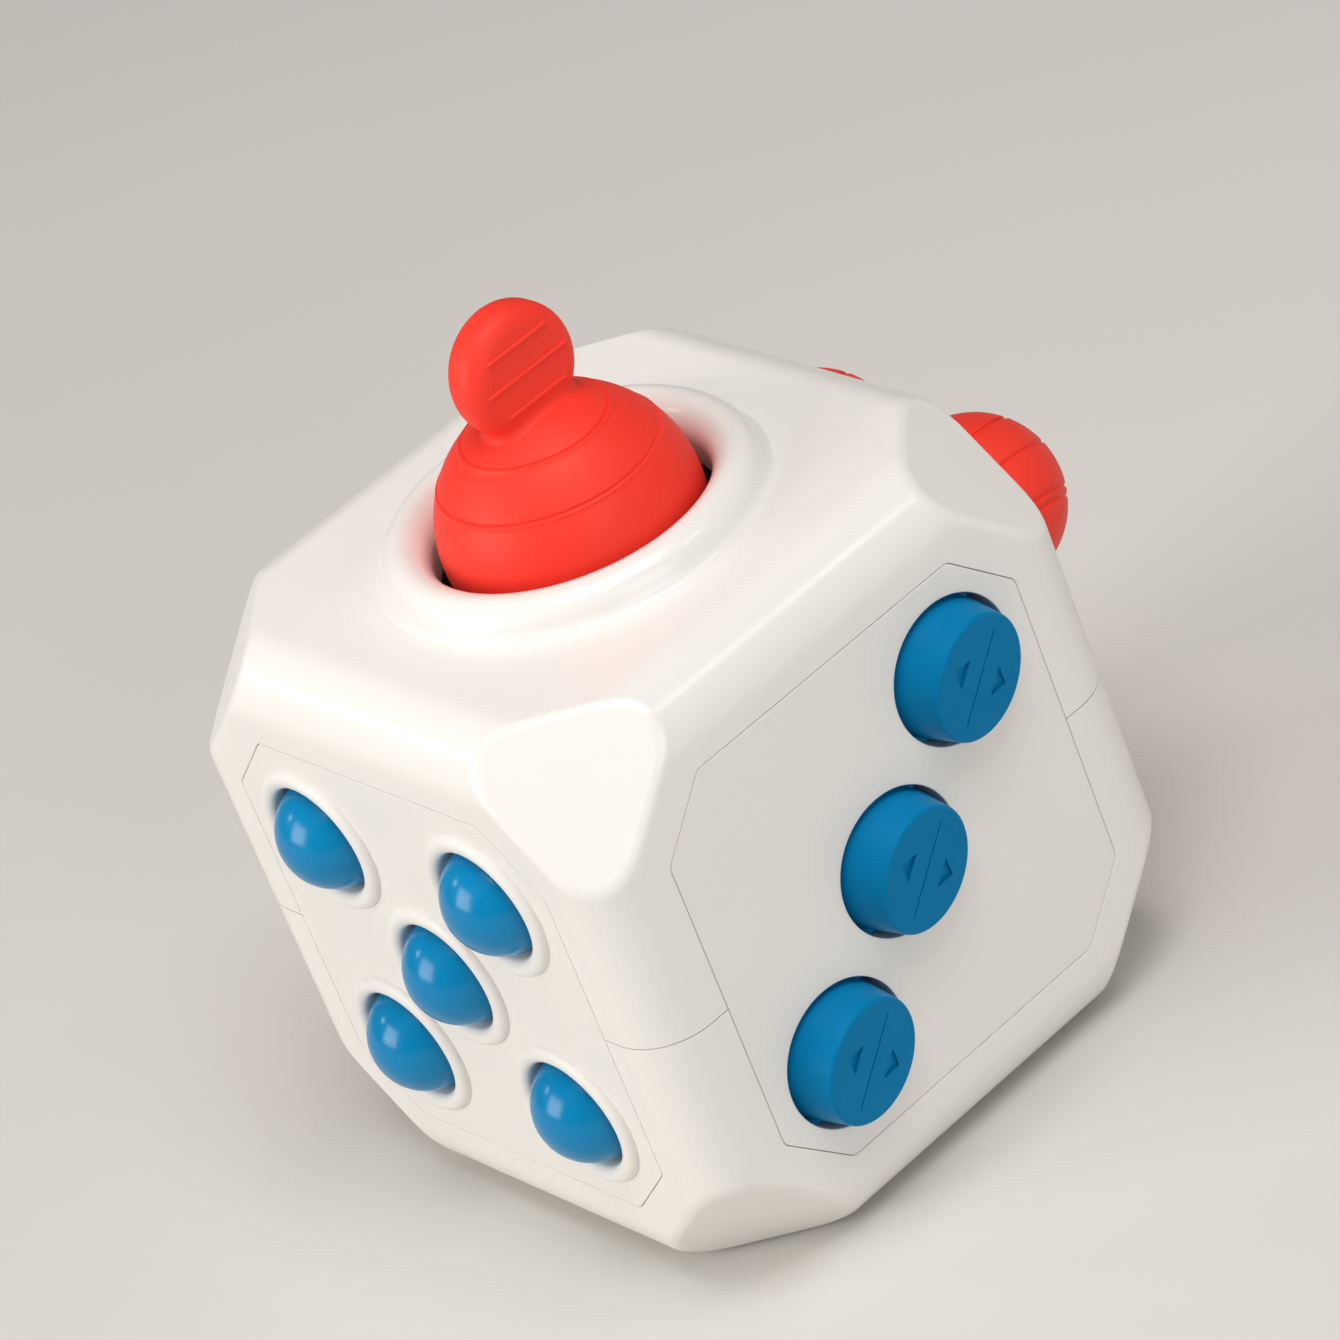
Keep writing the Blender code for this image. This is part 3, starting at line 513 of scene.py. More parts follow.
grey_inner = with_effect(
    "grey_inner_plastic_moulded",
    MOULDED_SKIN,
    {
        "Colour": linear(168, 170, 172),
        "Cloud Colour": linear(150, 152, 155),
        "Gloss Low": 0.42,
        "Gloss High": 0.58,
        "Cloud Size": 90.0,
        "Grain Size": 1500.0,
        "Grain Depth": 0.35,
    },
)
zinc_steel = with_effect(
    "zinc_plated_steel",
    DRAWN_METAL,
    {
        "Colour": (0.66, 0.67, 0.69, 1),
        "Dark Colour": (0.46, 0.47, 0.48, 1),
        "Gloss Low": 0.24,
        "Gloss High": 0.42,
        "Streaks": (700.0, 700.0, 2600.0),
    },
    Metallic=1.0,
)


def kept(nodes, material):
    """CAD nodes whose shape is right already keep it, and take a finish."""
    for node in nodes:
        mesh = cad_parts[node].data
        mesh.materials.clear()
        mesh.materials.append(material)


SCREW_HEAD_R = 0.0019
SCREW_HEAD = 0.0013
SCREW_R = 0.0011
THREAD_PITCH = 0.0005
THREAD_DEPTH = 0.00016
THREAD_START = 0.0004
RECESS_HALF = 0.00022
RECESS_LONG = 0.0012


def screw(length):
    """A pan-head thread-forming screw whose head bears at z = 0, with a cross recess."""
    profile = [(0, -SCREW_HEAD)]
    for angle in (0.35, 0.7, 1.05, 1.35):
        profile.append((SCREW_HEAD_R * math.sin(angle), -SCREW_HEAD * math.cos(angle) ** 0.5))
    profile += [(SCREW_HEAD_R, 0), (SCREW_R - THREAD_DEPTH, 0)]
    height = THREAD_START
    while height < length - SCREW_R:
        profile += [(SCREW_R - THREAD_DEPTH, height), (SCREW_R, height + THREAD_PITCH / 2)]
        height += THREAD_PITCH
    profile += [(SCREW_R * 0.55, length - SCREW_R * 0.5), (0, length)]
    body = made_object("screw", turned(profile, 24))
    slit = soft_outline([(RECESS_LONG, 0), (-RECESS_LONG, 0)], RECESS_HALF, 3)
    for turn in (0, math.pi / 2):
        recess = stacked([(slit, -2 * SCREW_HEAD), (slit, -SCREW_HEAD * 0.45)])
        cut(body, placed(recess, Matrix.Rotation(turn, 4, "Z")))
    shape = bmesh.new()
    shape.from_mesh(body.data)
    bpy.data.objects.remove(body, do_unlink=True)
    return shape


def screws_for(nodes, matrix):
    """A threaded screw in place of each CAD one, driven from the back of its plate."""
    inverse = matrix.inverted()
    for node in nodes:
        corners = [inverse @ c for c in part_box(node)]
        low, high = min(c.z for c in corners), max(c.z for c in corners)
        middle = (corners[0] + corners[1]) / 2
        seat = shifted(middle.x, middle.y, low + SCREW_HEAD)
        driven = made_object(node + "_threaded", placed(screw(high - low - SCREW_HEAD), matrix, seat))
        finished(driven, zinc_steel, "case", "steel", node)


kept(["button_plate"], grey_inner)
screws_for(["button_screw_1", "button_screw_2"], FRONT)

# ------------------------------------------------------------------ rocker panel
# The right-hand panel, in the same white ABS. Its three round windows stand on a
# diagonal, and a narrow channel through them on the back holds one long axle.
RIGHT = side_of_case((1, 0, 0), (0, 1, 0))
ROCKERS = [f"rocker_{n}" for n in range(1, 4)]
WINDOW_R = 0.0070
WINDOW_EDGE = 0.00012
AXLE_DROP = 0.0020
AXLE_R = 0.0008
axle_low, axle_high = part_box("rocker_axle")
AXLE_HALF = (axle_high - axle_low).yz.length / 2
ROCKER_PITCH = 0.0176
ALONG = Vector((1, 1, 0)).normalized()
TO_ALONG = Matrix.Rotation(math.pi / 4, 4, "Z")
LYING = Matrix.Rotation(math.pi / 2, 4, "Y")
rocker_spots = [(ALONG.x * ROCKER_PITCH * s, ALONG.y * ROCKER_PITCH * s) for s in (1, 0, -1)]
rocker_panel = side_panel("rocker_panel_white", RIGHT)
window = [(0, -2 * PANEL_BACK), (WINDOW_R, -2 * PANEL_BACK), (WINDOW_R, -WINDOW_EDGE)]
for angle in (0.4, 0.8, 1.2):
    window.append((WINDOW_R + WINDOW_EDGE * (1 - math.cos(angle)), WINDOW_EDGE * (math.sin(angle) - 1)))
window_lip_r = WINDOW_R + WINDOW_EDGE * 1.1
window += [(window_lip_r, PROUD), (window_lip_r, PANEL_BACK), (0, PANEL_BACK)]
cut(rocker_panel, *[placed(turned(window, 96), RIGHT, shifted(x, y)) for x, y in rocker_spots])
channel_half = AXLE_R + GAP
channel = soft_outline([(AXLE_HALF, 0), (-AXLE_HALF, 0)], channel_half)
groove = stacked([(channel, -2 * PANEL_BACK), (channel, channel_half - AXLE_DROP)])
cut(rocker_panel, placed(groove, RIGHT, TO_ALONG))
rocker_screws = ["rocker_screw_1", "rocker_screw_2"]
KEEPER_THICK = 0.0015
keeper_front = CASE_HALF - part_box("rocker_plate")[0].x - KEEPER_THICK
with_posts(rocker_panel, RIGHT, spots_of(rocker_screws, RIGHT), keeper_front - GAP)
finished(rocker_panel, white_panel, "case", "white_panel", "rocker_panel")

# ----------------------------------------------------------------------- rockers
# Three blue ABS discs that rock on the axle, widest where it passes through. Each
# top has a fine centre line and two sunk arrows that show the way it tips.
ROCKER_R = 0.0060
ROCKER_WAIST_R = 0.0067
WAIST_BAND = 0.0003
ROCKER_FOOT_R = 0.0061
ROCKER_FOOT_SOFT = 0.0006
ROCKER_TOP = 0.00478
ROCKER_BOTTOM = 0.0026
ROCKER_SOFT = 0.00038
ROCKER_TILT = math.radians(10)
CENTRE_LINE_HALF = 0.0044
CENTRE_LINE_WIDTH = 0.00016
CENTRE_LINE_DEPTH = 0.00014
ARROW_AT = 0.0023
ARROW_LONG = 0.0016
ARROW_WIDE = 0.0025
ARROW_DEPTH = 0.00033

blue_rocker = with_effect(
    "blue_rocker_plastic",
    MOULDED_SKIN,
    {
        "Colour": linear(6, 124, 176),
        "Cloud Colour": linear(3, 116, 168),
        "Gloss Low": 0.30,
        "Gloss High": 0.40,
        "Cloud Size": 110.0,
        "Grain Size": 2200.0,
        "Grain Depth": 0.22,
    },
    Specular_IOR_Level=0.04,
)
foot_middle = (ROCKER_FOOT_R - ROCKER_FOOT_SOFT, ROCKER_FOOT_SOFT - ROCKER_BOTTOM)
disc = [(0, -ROCKER_BOTTOM)] + arc(ROCKER_FOOT_SOFT, foot_middle, -90, -16, 4)
for worn, height in ((0.00008, -WAIST_BAND), (0.00002, 0), (0.00007, WAIST_BAND)):
    disc.append((ROCKER_WAIST_R - worn, height))
disc += arc(ROCKER_SOFT, (ROCKER_R - ROCKER_SOFT, ROCKER_TOP - ROCKER_SOFT), 8, 90, 8) + [(0, ROCKER_TOP)]
bore_r = AXLE_R + FIT
bore = [(0, -2 * ROCKER_R), (bore_r, -2 * ROCKER_R), (bore_r, 2 * ROCKER_R), (0, 2 * ROCKER_R)]
for name, (x, y) in zip(ROCKERS, rocker_spots):
    seat = shifted(x, y, -AXLE_DROP) @ Matrix.Rotation(ROCKER_TILT, 4, ALONG) @ TO_ALONG
    rocker = made_object(name + "_disc", placed(turned(disc, 128), RIGHT, seat))
    line = soft_outline([(CENTRE_LINE_HALF, 0), (-CENTRE_LINE_HALF, 0)], CENTRE_LINE_WIDTH / 2, 4)
    marks = [stacked([(line, ROCKER_TOP - CENTRE_LINE_DEPTH), (line, 2 * ROCKER_TOP)])]
    for way in (-1, 1):
        tip, foot, half = way * (ARROW_AT + ARROW_LONG), way * ARROW_AT, ARROW_WIDE / 2
        corners = [(-half, foot), (half, foot), (0, tip)][::way]
        arrow = soft_outline(corners, 0.00006, 2)
        marks.append(stacked([(arrow, ROCKER_TOP - ARROW_DEPTH), (arrow, 2 * ROCKER_TOP)]))
    cut(rocker, *[placed(mark, RIGHT, seat) for mark in marks])
    cut(rocker, placed(turned(bore, 32), RIGHT, seat, LYING))
    finished(rocker, blue_rocker, name, "blue_rocker", name, crease=30)

# -------------------------------------------------------- rocker axle and keeper
# The axle is a blue moulded pin with chamfered ends. The grey keeper plate holds
# it up in its channel by two pads, and is screwed to the panel's posts.
CHAMFER = 0.0002
pin = [(0, -AXLE_HALF), (AXLE_R - CHAMFER, -AXLE_HALF), (AXLE_R, CHAMFER - AXLE_HALF)]
pin += [(AXLE_R, AXLE_HALF - CHAMFER), (AXLE_R - CHAMFER, AXLE_HALF), (0, AXLE_HALF)]
axle = made_object("rocker_axle_pin", placed(turned(pin, 32), RIGHT, shifted(z=-AXLE_DROP), TO_ALONG, LYING))
finished(axle, blue_rocker, "case", "blue_rocker", "rocker_axle")
kept(["rocker_plate"], grey_inner)
screws_for(rocker_screws, RIGHT)

# -------------------------------------------------------------------- knob panel
# The back panel, in the same white ABS. A plain bored hole near each upper corner
# takes the spindle of a ball knob.
BACK = side_of_case((0, 1, 0), (-1, 0, 0))
KNOBS = ["ball_knob_1", "ball_knob_2"]
knob_spots = spots_of(KNOBS, BACK)
SPINDLE_R = 0.0022
knob_panel = side_panel("knob_panel_white", BACK)
way_r = SPINDLE_R + GAP
hole = [(0, -2 * PANEL_BACK), (way_r, -2 * PANEL_BACK), (way_r, PANEL_BACK), (0, PANEL_BACK)]
cut(knob_panel, *[placed(turned(hole, 48), BACK, shifted(x, y)) for x, y in knob_spots])
finished(knob_panel, white_panel, "case", "white_panel", "knob_panel")

# -------------------------------------------------------------------- ball knobs
# Two red soft-touch balls, each with turned grooves across it. A spindle on the
# foot of each runs in the panel, with a steel washer behind to keep it there.
KNOB_R = 0.00855
KNOB_RISE = 0.0037
KNOB_CLEAR = 0.0004
KNOB_GROOVES = (-0.00378, 0.00012, 0.00440, 0.00515)
GROOVE_HALF = 0.00022
GROOVE_DEPTH = 0.00030

red_knob = with_effect(
    "red_knob_soft_touch",
    MOULDED_SKIN,
    {
        "Colour": linear(246, 64, 48),
        "Cloud Colour": linear(240, 57, 43),
        "Gloss Low": 0.42,
        "Gloss High": 0.52,
        "Cloud Size": 100.0,
        "Grain Size": 2000.0,
        "Grain Depth": 0.20,
    },
    Specular_IOR_Level=0.22,
)


def grooved_ball(radius, grooves, half, depth, low, high, steps):
    """A ball's (radius, height) profile between two heights, with round-edged grooves."""
    start, end = math.asin(low / radius), math.asin(high / radius)
    heights = [radius * math.sin(start + (end - start) * i / steps) for i in range(steps + 1)]
    heights = [h for h in heights if all(abs(h - g) > 1.6 * half for g in grooves)]
    rows = [(h, 0.0) for h in heights]
    for g in grooves:
        rows += [(g - 1.5 * half, 0.0), (g - half, depth * 0.15), (g - half * 0.5, depth * 0.85)]
        rows += [(g, depth), (g + half * 0.5, depth * 0.85), (g + half, depth * 0.15), (g + 1.5 * half, 0.0)]
    rows.sort()
    return [(max(math.sqrt(max(radius**2 - h**2, 0)) - d, 0), h) for h, d in rows]


ball = grooved_ball(KNOB_R, KNOB_GROOVES, GROOVE_HALF, GROOVE_DEPTH, -KNOB_R, KNOB_R, 56)
spindle_end = CASE_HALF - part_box(KNOBS[0])[0].y
spindle = [(0, -spindle_end), (SPINDLE_R - CHAMFER, -spindle_end), (SPINDLE_R, CHAMFER - spindle_end)]
spindle += [(SPINDLE_R, KNOB_CLEAR + 0.002), (0, KNOB_CLEAR + 0.002)]
below = [(0, -4 * KNOB_R), (2 * KNOB_R, -4 * KNOB_R), (2 * KNOB_R, KNOB_CLEAR), (0, KNOB_CLEAR)]
groove_axis = Vector((-1, -1, 0)).normalized()
lay_over = Vector((0, 0, 1)).rotation_difference(groove_axis).to_matrix().to_4x4()
for name, (x, y) in zip(KNOBS, knob_spots):
    knob = made_object(name + "_ball", placed(turned(ball, 96), BACK, shifted(x, y, KNOB_RISE), lay_over))
    cut(knob, placed(turned(below, 8), BACK, shifted(x, y)))
    join(knob, placed(turned(spindle, 48), BACK, shifted(x, y)))
    finished(knob, red_knob, name, "red_knob", name, crease=50)
kept(["knob_retainer_1", "knob_retainer_2"], zinc_steel)

# ------------------------------------------------------------------ slider panel
# The left-hand panel has two parallel slots, one for each slider. Their edges are
# softened so that the sliders don't catch.
LEFT = side_of_case((-1, 0, 0), (0, -1, 0))
SLIDER_PITCH = 0.0190
NECK_WIDTH = 0.0042
NECK_LENGTH = 0.0046
SLIDE_TRAVEL = 0.0140
SLOT_EDGE = 0.0004
SLOT_HALF_WIDTH = NECK_WIDTH / 2 + GAP
SLOT_REACH = (NECK_LENGTH + SLIDE_TRAVEL) / 2 + GAP - SLOT_HALF_WIDTH
slider_panel = side_panel("slider_panel_white", LEFT)


def lane(grow=0.0):
    return soft_outline([(0, SLOT_REACH), (0, -SLOT_REACH)], SLOT_HALF_WIDTH + grow, 16)


slot_layers = [(lane(), -2 * PANEL_BACK), (lane(), -SLOT_EDGE), (lane(0.3 * SLOT_EDGE), -0.3 * SLOT_EDGE)]
slot_layers += [(lane(SLOT_EDGE), PROUD), (lane(SLOT_EDGE), 0.001)]
cut(slider_panel, *[placed(stacked(slot_layers), LEFT, shifted(side * SLIDER_PITCH / 2)) for side in (-1, 1)])
finished(slider_panel, white_panel, "case", "white_panel", "slider_panel")

# ----------------------------------------------------------------------- sliders
# Two red thumb sliders with a rounded cap and three grip bars. The neck runs in
# the slot, and a steel foot clipped on behind keeps the slider in it.
CAP_WIDTH = 0.0100
CAP_LENGTH = 0.0120
CAP_RISE = 0.0028
CAP_SOFT = 0.0012
CAP_FOOT = 0.0002
GRIP_PITCH = 0.0022
GRIP_R = 0.00045

red_slider = with_effect(
    "red_slider_plastic",
    MOULDED_SKIN,
    {
        "Colour": linear(250, 70, 56),
        "Cloud Colour": linear(243, 62, 50),
        "Gloss Low": 0.36,
        "Gloss High": 0.46,
        "Cloud Size": 110.0,
        "Grain Size": 2200.0,
        "Grain Depth": 0.18,
    },
)


def stadium(width, length, grow=0.0):
    """A slot-shaped outline along Y, drawn larger or smaller all round."""
    reach = (length - width) / 2
    return soft_outline([(0, reach), (0, -reach)], width / 2 + grow, 20)


def grip_bar(radius, half_length):
    """A round bar along X with ball ends."""
    ends = arc(radius, (0, half_length), 0, 90, 5)
    return placed(turned([(r, -h) for r, h in ends[::-1]] + ends, 16), LYING)


for number, side in enumerate((-1, 1), 1):
    name = f"slider_{number}"
    spot = spots_of([name], LEFT)[0]
    at = shifted(*spot)
    cap_layers = [(stadium(CAP_WIDTH, CAP_LENGTH, -CAP_FOOT), GAP)]
    cap_layers.append((stadium(CAP_WIDTH, CAP_LENGTH), GAP + CAP_FOOT))
    for step in range(9):
        angle = math.pi / 2 * step / 8
        drawn_in = stadium(CAP_WIDTH, CAP_LENGTH, -CAP_SOFT * (1 - math.cos(angle)))
        cap_layers.append((drawn_in, GAP + CAP_RISE - CAP_SOFT * (1 - math.sin(angle))))
    slider = made_object(name + "_cap", placed(stacked(cap_layers), LEFT, at))
    neck = stadium(NECK_WIDTH, NECK_LENGTH)
    neck_low = -(CASE_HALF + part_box(name)[1].x)
    join(slider, placed(stacked([(neck, neck_low), (neck, CAP_RISE / 2)]), LEFT, at))
    bars = [grip_bar(GRIP_R, CAP_WIDTH * 0.27) for _ in range(3)]
    spots = [shifted(0, row * GRIP_PITCH, CAP_RISE + GAP - GRIP_R / 2) for row in (-1, 0, 1)]
    join(slider, *[placed(bar, LEFT, at, spot) for bar, spot in zip(bars, spots)])
    finished(slider, red_slider, name, "red_slider", name, crease=45)
kept(["slider_foot_1", "slider_foot_2"], zinc_steel)

# ------------------------------------------------------------------- lower shell
# The bottom half of the case, moulded in white ABS: a cube with every edge rolled
# over and its corners cut off. A pocket in its floor takes the base panel.
EDGE_ROUND = 0.0060
CORNER_CUT = 0.0165
CORNER_BREAK = 0.0007
PARTING = 0.00006

white_shell = with_effect(
    "white_shell_plastic",
    MOULDED_SKIN,
    {
        "Colour": linear(240, 237, 232),
        "Cloud Colour": linear(237, 233, 227),
        "Gloss Low": 0.21,
        "Gloss High": 0.27,
        "Cloud Size": 45.0,
        "Grain Size": 2400.0,
        "Grain Depth": 0.08,
    },
    Specular_IOR_Level=0.5,
)


def case_block(inset, steps, break_steps):
    """The cube with rolled edges, then flat corner cuts with a small broken rim."""
    reach = 3 * CASE_HALF - CORNER_CUT - inset * math.sqrt(3)
    shape = bmesh.new()
    bmesh.ops.create_cube(shape, size=2 * (CASE_HALF - inset))
    rolled = {"offset_type": "OFFSET", "profile": 0.5, "affect": "EDGES"}
    bmesh.ops.bevel(shape, geom=shape.edges[:], offset=EDGE_ROUND - inset, segments=steps, **rolled)
    rims = []
    for x in (-1, 1):
        for y in (-1, 1):
            for z in (-1, 1):
                outward = Vector((x, y, z))
                geometry = shape.verts[:] + shape.edges[:] + shape.faces[:]
                sliced = bmesh.ops.bisect_plane(
                    shape, geom=geometry, plane_co=outward * reach / 3, plane_no=outward, clear_outer=True
                )
                edges = [e for e in sliced["geom_cut"] if isinstance(e, bmesh.types.BMEdge)]
                bmesh.ops.edgeloop_fill(shape, edges=edges)
                rims += edges
    bmesh.ops.recalc_face_normals(shape, faces=shape.faces)
    bmesh.ops.bevel(shape, geom=rims, offset=CORNER_BREAK, segments=break_steps, **rolled)
    return placed(shape, shifted(z=CASE_HALF))


def window_cutter(matrix, depth):
    """The opening for a panel, with its edge very slightly broken."""
    layers = [(panel_outline(SEAM), -depth)]
    for angle in (0, 0.5, 1.05, 1.45):
        grow = SEAM + SEAM_EDGE * (1 - math.cos(angle))
        layers.append((panel_outline(grow), SEAM_EDGE * (math.sin(angle) - 1)))
    top = panel_outline(SEAM + SEAM_EDGE * 1.02)
    return placed(stacked(layers + [(top, PROUD), (top, 0.002)]), matrix)


def half_case(name, upper):
    """One hollow half of the case, open at its four side windows."""
    shell = made_object(name, case_block(0, 14, 5))
    way = 1 if upper else -1
    near, far = CASE_HALF + way * PARTING, CASE_HALF + way * 2 * CASE_HALF
    wide = soft_outline([(0.05, 0.05), (-0.05, 0.05), (-0.05, -0.05), (0.05, -0.05)], 0.001, 1)
    worked(shell, [stacked([(wide, min(near, far)), (wide, max(near, far))])], "INTERSECT")
    cut(shell, case_block(CASE_WALL, 5, 2))
    cut(shell, *[window_cutter(side, 0.006) for side in (FRONT, RIGHT, BACK, LEFT)])
    return shell


BASE = side_of_case((0, 0, -1), (1, 0, 0))
CASE_SCREWS = [f"case_screw_{n}" for n in range(1, 5)]
BOSS_R = 0.0027
SCREW_WAY_R = 0.0013
HEAD_WAY_R = 0.0022
BASE_THICK = 0.0016
FLOOR_LOW = BASE_THICK + GAP
FLOOR_HIGH = FLOOR_LOW + CASE_WALL
boss_spots = [((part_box(n)[0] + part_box(n)[1]) / 2).xy for n in CASE_SCREWS]
SEAT_PLATE_TOP = 0.0464
SEAT_PLATE_THICK = 0.0020
seat_plate_low = SEAT_PLATE_TOP - SEAT_PLATE_THICK


def rods(radius, low, high, sides=32):
    """A round bar at each case screw."""
    bar = [(0, low), (radius, low), (radius, high), (0, high)]
    return [placed(turned(bar, sides), shifted(x, y)) for x, y in boss_spots]


lower_shell = half_case("lower_shell_white", upper=False)
pad = stacked([(panel_outline(FLANGE_LAP), CASE_WALL / 2), (panel_outline(FLANGE_LAP), FLOOR_HIGH)])
join(lower_shell, pad)
cut(lower_shell, window_cutter(BASE, FLOOR_LOW))
join(lower_shell, *rods(BOSS_R, FLOOR_HIGH - CASE_WALL / 2, seat_plate_low - GAP))
head_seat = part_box(CASE_SCREWS[0])[0].z + SCREW_HEAD
cut(lower_shell, *rods(SCREW_WAY_R, -CASE_WALL, seat_plate_low + CASE_WALL))
cut(lower_shell, *rods(HEAD_WAY_R, -CASE_WALL, head_seat))
finished(lower_shell, white_shell, "case", "white_shell", "lower_shell")

# ----------------------------------------------------- joystick seat and universal
# A grey seat plate, clamped between the two shells, carries a fork. A small steel
# cross pivots in the fork one way, and the red ball pivots on the cross the other.
kept(["joystick_seat"], grey_inner)
kept(["joystick_cross"], zinc_steel)
JOYSTICK_WIRE_R = 0.00048
spring_low, spring_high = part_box("joystick_spring")
return_r = (spring_high.x - spring_low.x) / 2 - JOYSTICK_WIRE_R
wound = coil(return_r, JOYSTICK_WIRE_R, spring_high.z - spring_low.z, 4.0, per_turn=56, sides=10)
return_spring = made_object("joystick_spring_coil", placed(wound, shifted(z=spring_low.z)))
finished(return_spring, spring_wire, "case", "spring_steel", "joystick_spring", crease=60)

# ----------------------------------------------------------------- joystick knob
# The red soft-touch handle is one moulding: a hollow ball with two turned lines
# round it, and a round thumb fin on top, with three raised ribs on each side.
BALL_CENTRE = (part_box("joystick_cross")[0].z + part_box("joystick_cross")[1].z) / 2
BALL_R = 0.0124
BALL_INNER_R = 0.0095
BALL_SKIRT = 0.0060
LINE_HEIGHTS = (0.01028, 0.00663)
LINE_HALF = 0.00009
LINE_DEPTH = 0.00012
BEAD_HALF = 0.00020
BEAD_HEIGHT = 0.00009
FIN_R = 0.0062
FIN_HALF = 0.00245
FIN_SOFT = 0.0020
FIN_RISE = 0.0162
FIN_FILLET = 0.0009
FILLET_ROOT = 0.0005
RIB_ROWS = ((0.00315, 0.0071), (0.00030, 0.0095), (-0.00255, 0.0071))
RIB_R = 0.00022

red_joystick = with_effect(
    "red_joystick_soft_touch",
    MOULDED_SKIN,
    {
        "Colour": linear(248, 62, 46),
        "Cloud Colour": linear(243, 56, 42),
        "Gloss Low": 0.44,
        "Gloss High": 0.54,
        "Cloud Size": 80.0,
        "Grain Size": 2000.0,
        "Grain Depth": 0.16,
    },
    Specular_IOR_Level=0.22,
)


def ball_profile():
    """The ball from its skirt to its crown, with a fine line and bead at two heights."""
    start = math.asin(-BALL_SKIRT / BALL_R)
    angles = [start + (math.pi / 2 - start) * i / 72 for i in range(73)]
    turns = [(a, 0.0) for a in angles]
    for height in LINE_HEIGHTS:
        at = math.asin(height / BALL_R)
        line, bead = LINE_HALF / BALL_R, BEAD_HALF / BALL_R
        turns = [(a, d) for a, d in turns if not at - 2 * bead - 1.6 * line < a < at + 1.6 * line]
        turns += [(at + 1.4 * line, 0.0), (at + 0.8 * line, -LINE_DEPTH * 0.4)]
        turns += [(at, -LINE_DEPTH), (at - line, -LINE_DEPTH * 0.2)]
        middle = at - line - bead
        for share in (0.6, 0.2, -0.2, -0.6, -1.0):
            turns.append((middle + bead * share, BEAD_HEIGHT * math.cos(share * math.pi / 2)))
    turns.sort()
    return [(max((BALL_R + d) * math.cos(a), 0), (BALL_R + d) * math.sin(a)) for a, d in turns]


def fin_distance(point):
    """How far a point is outside the fin."""
    out = math.hypot(point.y, point.z - FIN_RISE) - (FIN_R - FIN_SOFT)
    side = abs(point.x) - (FIN_HALF - FIN_SOFT)
    return math.hypot(max(out, 0), max(side, 0)) + min(max(out, side), 0) - FIN_SOFT


def fin_fillet(count, steps):
    """A ring that fills the crease between fin and ball, as a ball rolled round it would."""
    shape = bmesh.new()
    rows = []
    for i in range(count):
        around = 2 * math.pi * i / count
        near, far = 0.0, 1.2
        for _ in range(40):
            lean = (near + far) / 2
            level = Vector((math.cos(around), math.sin(around), 0)) * math.sin(lean)
            spot = (level + Vector((0, 0, math.cos(lean)))) * (BALL_R + FIN_FILLET)
            near, far = (lean, far) if fin_distance(spot) < FIN_FILLET else (near, lean)
        tiny = 1e-6
        nudges = [row * tiny for row in Matrix.Identity(3)]
        slope = [fin_distance(spot + nudge) - fin_distance(spot) for nudge in nudges]
        to_fin = -Vector(slope).normalized()
        to_ball = -spot.normalized()
        row = []
        for step in range(steps + 1):
            arm = to_ball.slerp(to_fin, step / steps)
            row.append(spot + arm * (FIN_FILLET * 1.012))
        row.append(row[-1] + to_fin * FILLET_ROOT)
        row.append(row[0] + to_ball * FILLET_ROOT)
        rows.append([shape.verts.new(p) for p in row])
    for row, after in zip(rows, rows[1:] + rows[:1]):
        for i in range(len(row)):
            j = (i + 1) % len(row)
            shape.faces.new((row[i], row[j], after[j], after[i]))
    bmesh.ops.recalc_face_normals(shape, faces=shape.faces)
    return shape


middle = shifted(z=BALL_CENTRE)
inside = -math.degrees(math.asin(BALL_SKIRT / BALL_INNER_R))
cup = ball_profile() + arc(BALL_INNER_R, (0, 0), 90, inside, 14)
joystick = made_object("joystick_knob_red", placed(turned(cup, 160, ring=True), middle))
fin_edge = arc(FIN_SOFT, (FIN_R - FIN_SOFT, FIN_SOFT - FIN_HALF), -90, 0, 12)
fin_edge += arc(FIN_SOFT, (FIN_R - FIN_SOFT, FIN_HALF - FIN_SOFT), 0, 90, 12)
fin = [(0, -FIN_HALF)] + fin_edge + [(0, FIN_HALF)]
fin_middle = shifted(z=BALL_CENTRE + FIN_RISE)
join(joystick, placed(turned(fin, 128), fin_middle, LYING))
join(joystick, placed(fin_fillet(144, 8), middle))
UPRIGHT = Matrix.Rotation(math.pi / 2, 4, "Z")
for rise, length in RIB_ROWS:
    for side in (-1, 1):
        rib = grip_bar(RIB_R, length / 2 - RIB_R)
        join(joystick, placed(rib, fin_middle, shifted(x=side * FIN_HALF, z=rise), UPRIGHT))
finished(joystick, red_joystick, "joystick", "red_joystick", "joystick_knob", crease=45)

# ------------------------------------------------------------------- upper shell
# The top half of the case. A thick rounded ring is moulded round the joystick
# hole, with a soft foot where it meets the top face.
LID = side_of_case((0, 0, 1), (1, 0, 0))
THROAT_R = 0.0133
RING_OUTER_R = 0.0183
RING_HEIGHT = 0.0031
RING_FOOT = 0.0008
RING_SINK = 0.00002
upper_shell = half_case("upper_shell_white", upper=True)
ring_middle = (THROAT_R + RING_OUTER_R) / 2
hole = [(0, -0.01), (ring_middle, -0.01), (ring_middle, 0.01), (0, 0.01)]
cut(upper_shell, placed(turned(hole, 160), LID))
half_width = (RING_OUTER_R - THROAT_R) / 2
ring = [(THROAT_R + GAP, -CASE_WALL), (THROAT_R, -CASE_WALL + GAP)]
for i in range(25):
    angle = math.pi * (1 - i / 24)
    ring.append((ring_middle + half_width * math.cos(angle), RING_HEIGHT * math.sin(angle)))
foot = []
ring = [p for p in ring if not (p[0] > ring_middle and p[1] < RING_FOOT)]
last_r, last_z = ring[-1]
